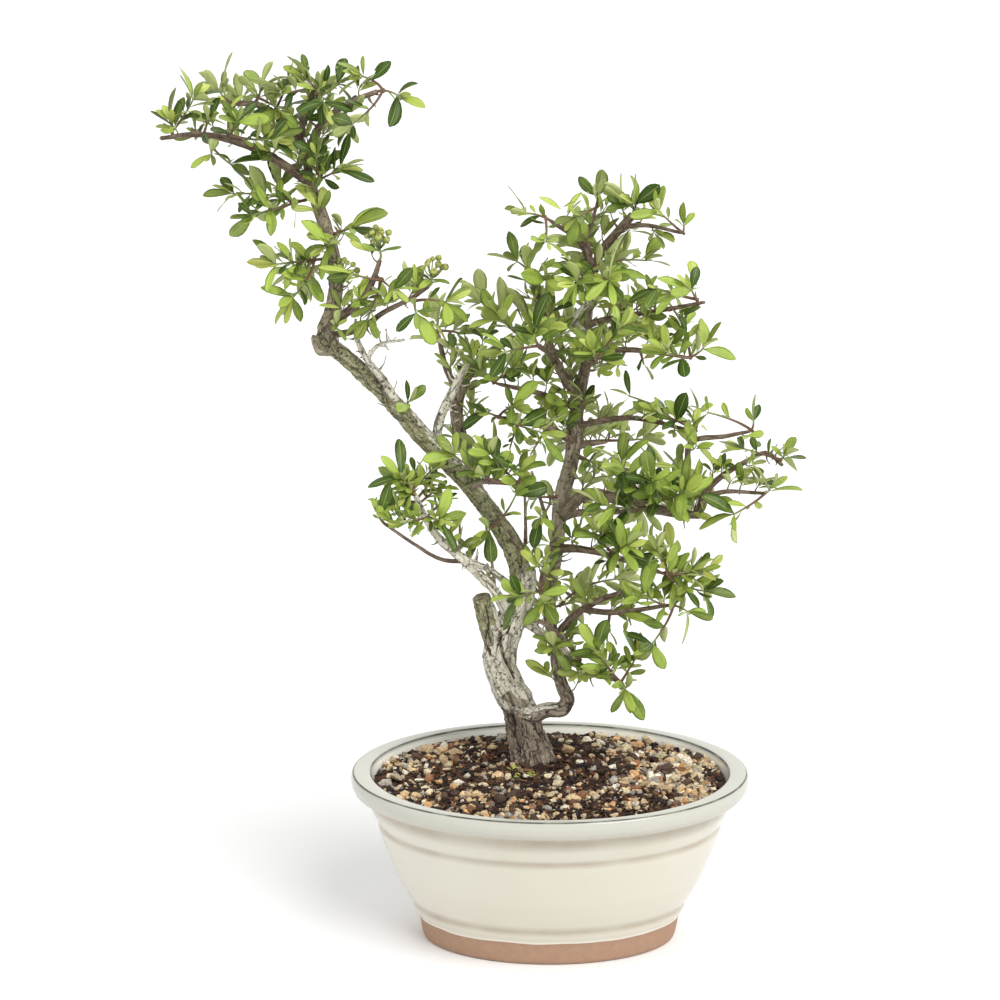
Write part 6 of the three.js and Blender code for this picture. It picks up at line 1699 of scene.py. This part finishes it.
class BONSAI_PG_wood(bpy.types.PropertyGroup):
    """Shape and colours of the trunk and the limbs."""

    melt_size: length("Melt size", "Voxel side by which the limbs are joined", 0.0009)
    flutes: number("Flutes", "Depth of the long hollows, by the radius", 0.42)
    furrows: number("Furrows", "Depth of the furrows, by the radius", 0.26)
    thorn_length: length("Thorn length", "Mean length of thorns and dead twigs", 0.007)
    bark: colour("Old bark", "Grey of the old bark", 200, 184, 162)
    bark_dark: colour("Dark bark", "Furrows of the old bark", 104, 88, 74)
    bark_pale: colour("Pale bark", "Weathered patches of old bark", 208, 198, 172)
    young: colour("Young bark", "Brown of the younger limbs", 160, 140, 120)
    young_dark: colour("Dark young bark", "Dark streaks of the younger limbs", 96, 76, 62)
    deadwood: colour("Bleached wood", "Pale bare wood", 252, 247, 228)
    deadwood_dark: colour("Bleached furrows", "Furrows of the bare wood", 170, 158, 132)
    lichen: colour("Lichen", "Olive lichen", 138, 140, 92)
    lichen_pale: colour("Pale lichen", "Pale lichen", 196, 196, 152)
    furrow: colour("Deep furrows", "The bottom of the furrows", 44, 36, 30)


class BONSAI_PG_crown(bpy.types.PropertyGroup):
    """The leaves, the twigs and the seedlings."""

    leaf_length: length("Leaf length", "Mean length of a leaf", 0.021)
    leaf_width: number("Leaf width", "Width of a leaf over its length", 0.5)
    green: colour("Green", "Light green of grown leaves", 166, 189, 80)
    green_dark: colour("Dark green", "Dark green of grown leaves", 58, 84, 16)
    young: colour("Young green", "Green of the youngest leaves", 206, 216, 110)
    rib: colour("Midrib", "Midrib and edge", 200, 210, 132)
    under: colour("Underside", "Underside of the leaves", 172, 186, 112)
    under_light: colour("Pale underside", "Paler undersides", 196, 204, 136)
    twig: colour("Twig", "Grown twigs", 128, 98, 76)
    twig_dark: colour("Dark twig", "Dark lines of the twigs", 90, 66, 50)
    twig_green: colour("Green twig", "The twigs' soft ends", 132, 150, 76)


class BONSAI_PG_berries(bpy.types.PropertyGroup):
    """The berries and their stems."""

    berry_size: length("Berry size", "Diameter of the largest berries", 0.0044)
    berry: colour("Berry", "Light side of a berry", 178, 182, 92)
    berry_dark: colour("Dark berry", "Dark side of a berry", 128, 136, 60)
    eye: colour("Eye", "The dry eye of a berry", 104, 80, 44)
    twig: colour("Stem", "Stems of the berries", 138, 136, 84)
    twig_dark: colour("Dark stem", "Dark lines of the stems", 112, 96, 64)
    twig_green: colour("Green stem", "Green of the stems", 146, 160, 86)


class BONSAI_PG_stage(bpy.types.PropertyGroup):
    """The floor, the light and the camera."""

    floor: colour("Floor", "Pale floor", 246, 246, 246)
    surround: number("Surround", "Strength of the light from all around", 0.64)
    lamps: number("Lamps", "Strength of the lamps", 1.06)
    lens: number("Lens", "Focal length in millimetres", 88.2)
    pitch: FloatProperty(name="Pitch", description="How far the camera looks down", subtype="ANGLE",
        default=math.radians(12.8))


class BonsaiStep:
    """What all the operators share."""

    bl_options = {"REGISTER", "UNDO"}


class BONSAI_OT_stage(BonsaiStep, bpy.types.Operator):
    """Make the floor, the lamps and the camera"""

    bl_idname = "bonsai.stage"
    bl_label = "Stage"

    def execute(self, context):
        build_stage(context.scene.bonsai_stage)
        return {"FINISHED"}


class BONSAI_OT_pot(BonsaiStep, bpy.types.Operator):
    """Make the glazed pot with its drain holes"""

    bl_idname = "bonsai.pot"
    bl_label = "Pot"

    def execute(self, context):
        build_pot(context.scene.bonsai_pot)
        return {"FINISHED"}


class BONSAI_OT_nets(BonsaiStep, bpy.types.Operator):
    """Give the drain nets their finish"""

    bl_idname = "bonsai.nets"
    bl_label = "Drain nets"

    def execute(self, context):
        dress_nets(context.scene.bonsai_pot)
        return {"FINISHED"}


class BONSAI_OT_soil(BonsaiStep, bpy.types.Operator):
    """Fill the pot with soil"""

    bl_idname = "bonsai.soil"
    bl_label = "Soil"

    def execute(self, context):
        build_soil_bed(context.scene.bonsai_soil)
        return {"FINISHED"}


class BONSAI_OT_grit(BonsaiStep, bpy.types.Operator):
    """Strew stones, bark chips and fibres on the soil"""

    bl_idname = "bonsai.grit"
    bl_label = "Grit"

    def execute(self, context):
        build_gravel(context.scene.bonsai_soil)
        build_fibres(context.scene.bonsai_soil)
        return {"FINISHED"}


class BONSAI_OT_seedlings(BonsaiStep, bpy.types.Operator):
    """Set the small seedlings on the soil"""

    bl_idname = "bonsai.seedlings"
    bl_label = "Seedlings"

    def execute(self, context):
        build_seedlings(context.scene.bonsai_crown)
        return {"FINISHED"}


class BONSAI_OT_trunk(BonsaiStep, bpy.types.Operator):
    """Make the trunk with its roots and stout limbs"""

    bl_idname = "bonsai.trunk"
    bl_label = "Trunk"

    def execute(self, context):
        build_trunk(context.scene.bonsai_wood)
        return {"FINISHED"}


class BONSAI_OT_branches(BonsaiStep, bpy.types.Operator):
    """Make the thin limbs, thorns and dead twigs"""

    bl_idname = "bonsai.branches"
    bl_label = "Fine branches"

    def execute(self, context):
        build_branches(context.scene.bonsai_wood)
        return {"FINISHED"}


class BONSAI_OT_twigs(BonsaiStep, bpy.types.Operator):
    """Make the leafy twigs of each part of the crown"""

    bl_idname = "bonsai.twigs"
    bl_label = "Twigs"

    def execute(self, context):
        build_twigs(context.scene.bonsai_crown)
        return {"FINISHED"}


class BONSAI_OT_leaves(BonsaiStep, bpy.types.Operator):
    """Make the leaves of each part of the crown"""

    bl_idname = "bonsai.leaves"
    bl_label = "Leaves"

    def execute(self, context):
        build_leaves(context.scene.bonsai_crown)
        return {"FINISHED"}


class BONSAI_OT_berries(BonsaiStep, bpy.types.Operator):
    """Make the clusters of unripe berries"""

    bl_idname = "bonsai.berries"
    bl_label = "Berries"

    def execute(self, context):
        build_berries(context.scene.bonsai_berries)
        return {"FINISHED"}


STEPS = (BONSAI_OT_stage, BONSAI_OT_pot, BONSAI_OT_nets, BONSAI_OT_soil, BONSAI_OT_grit, BONSAI_OT_seedlings,
    BONSAI_OT_trunk, BONSAI_OT_branches, BONSAI_OT_twigs, BONSAI_OT_leaves, BONSAI_OT_berries)
GROUPS = {"bonsai_pot": BONSAI_PG_pot, "bonsai_soil": BONSAI_PG_soil, "bonsai_wood": BONSAI_PG_wood,
    "bonsai_crown": BONSAI_PG_crown, "bonsai_berries": BONSAI_PG_berries, "bonsai_stage": BONSAI_PG_stage}


class BONSAI_PT_panel(bpy.types.Panel):
    """The steps and their settings"""

    bl_idname = "BONSAI_PT_panel"
    bl_label = "Pyracantha bonsai"
    bl_space_type = "VIEW_3D"
    bl_region_type = "UI"
    bl_category = "Bonsai"

    def draw(self, context):
        for step in STEPS:
            self.layout.operator(step.bl_idname)
        for name, group in GROUPS.items():
            box = self.layout.box()
            box.label(text=group.__doc__)
            for setting in group.__annotations__:
                box.prop(getattr(context.scene, name), setting)


def register():
    """Add the settings, the steps and the panel to Blender."""
    for one in (*GROUPS.values(), *STEPS, BONSAI_PT_panel):
        bpy.utils.register_class(one)
    for name, group in GROUPS.items():
        setattr(bpy.types.Scene, name, PointerProperty(type=group))


def unregister():
    """Take the settings, the steps and the panel away again."""
    for name in GROUPS:
        delattr(bpy.types.Scene, name)
    for one in reversed((*GROUPS.values(), *STEPS, BONSAI_PT_panel)):
        bpy.utils.unregister_class(one)


def main():
    """Run every step in turn."""
    register()
    for step in STEPS:
        getattr(bpy.ops.bonsai, step.bl_idname.split(".")[1])()
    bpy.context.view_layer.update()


if __name__ == "__main__":
    main()
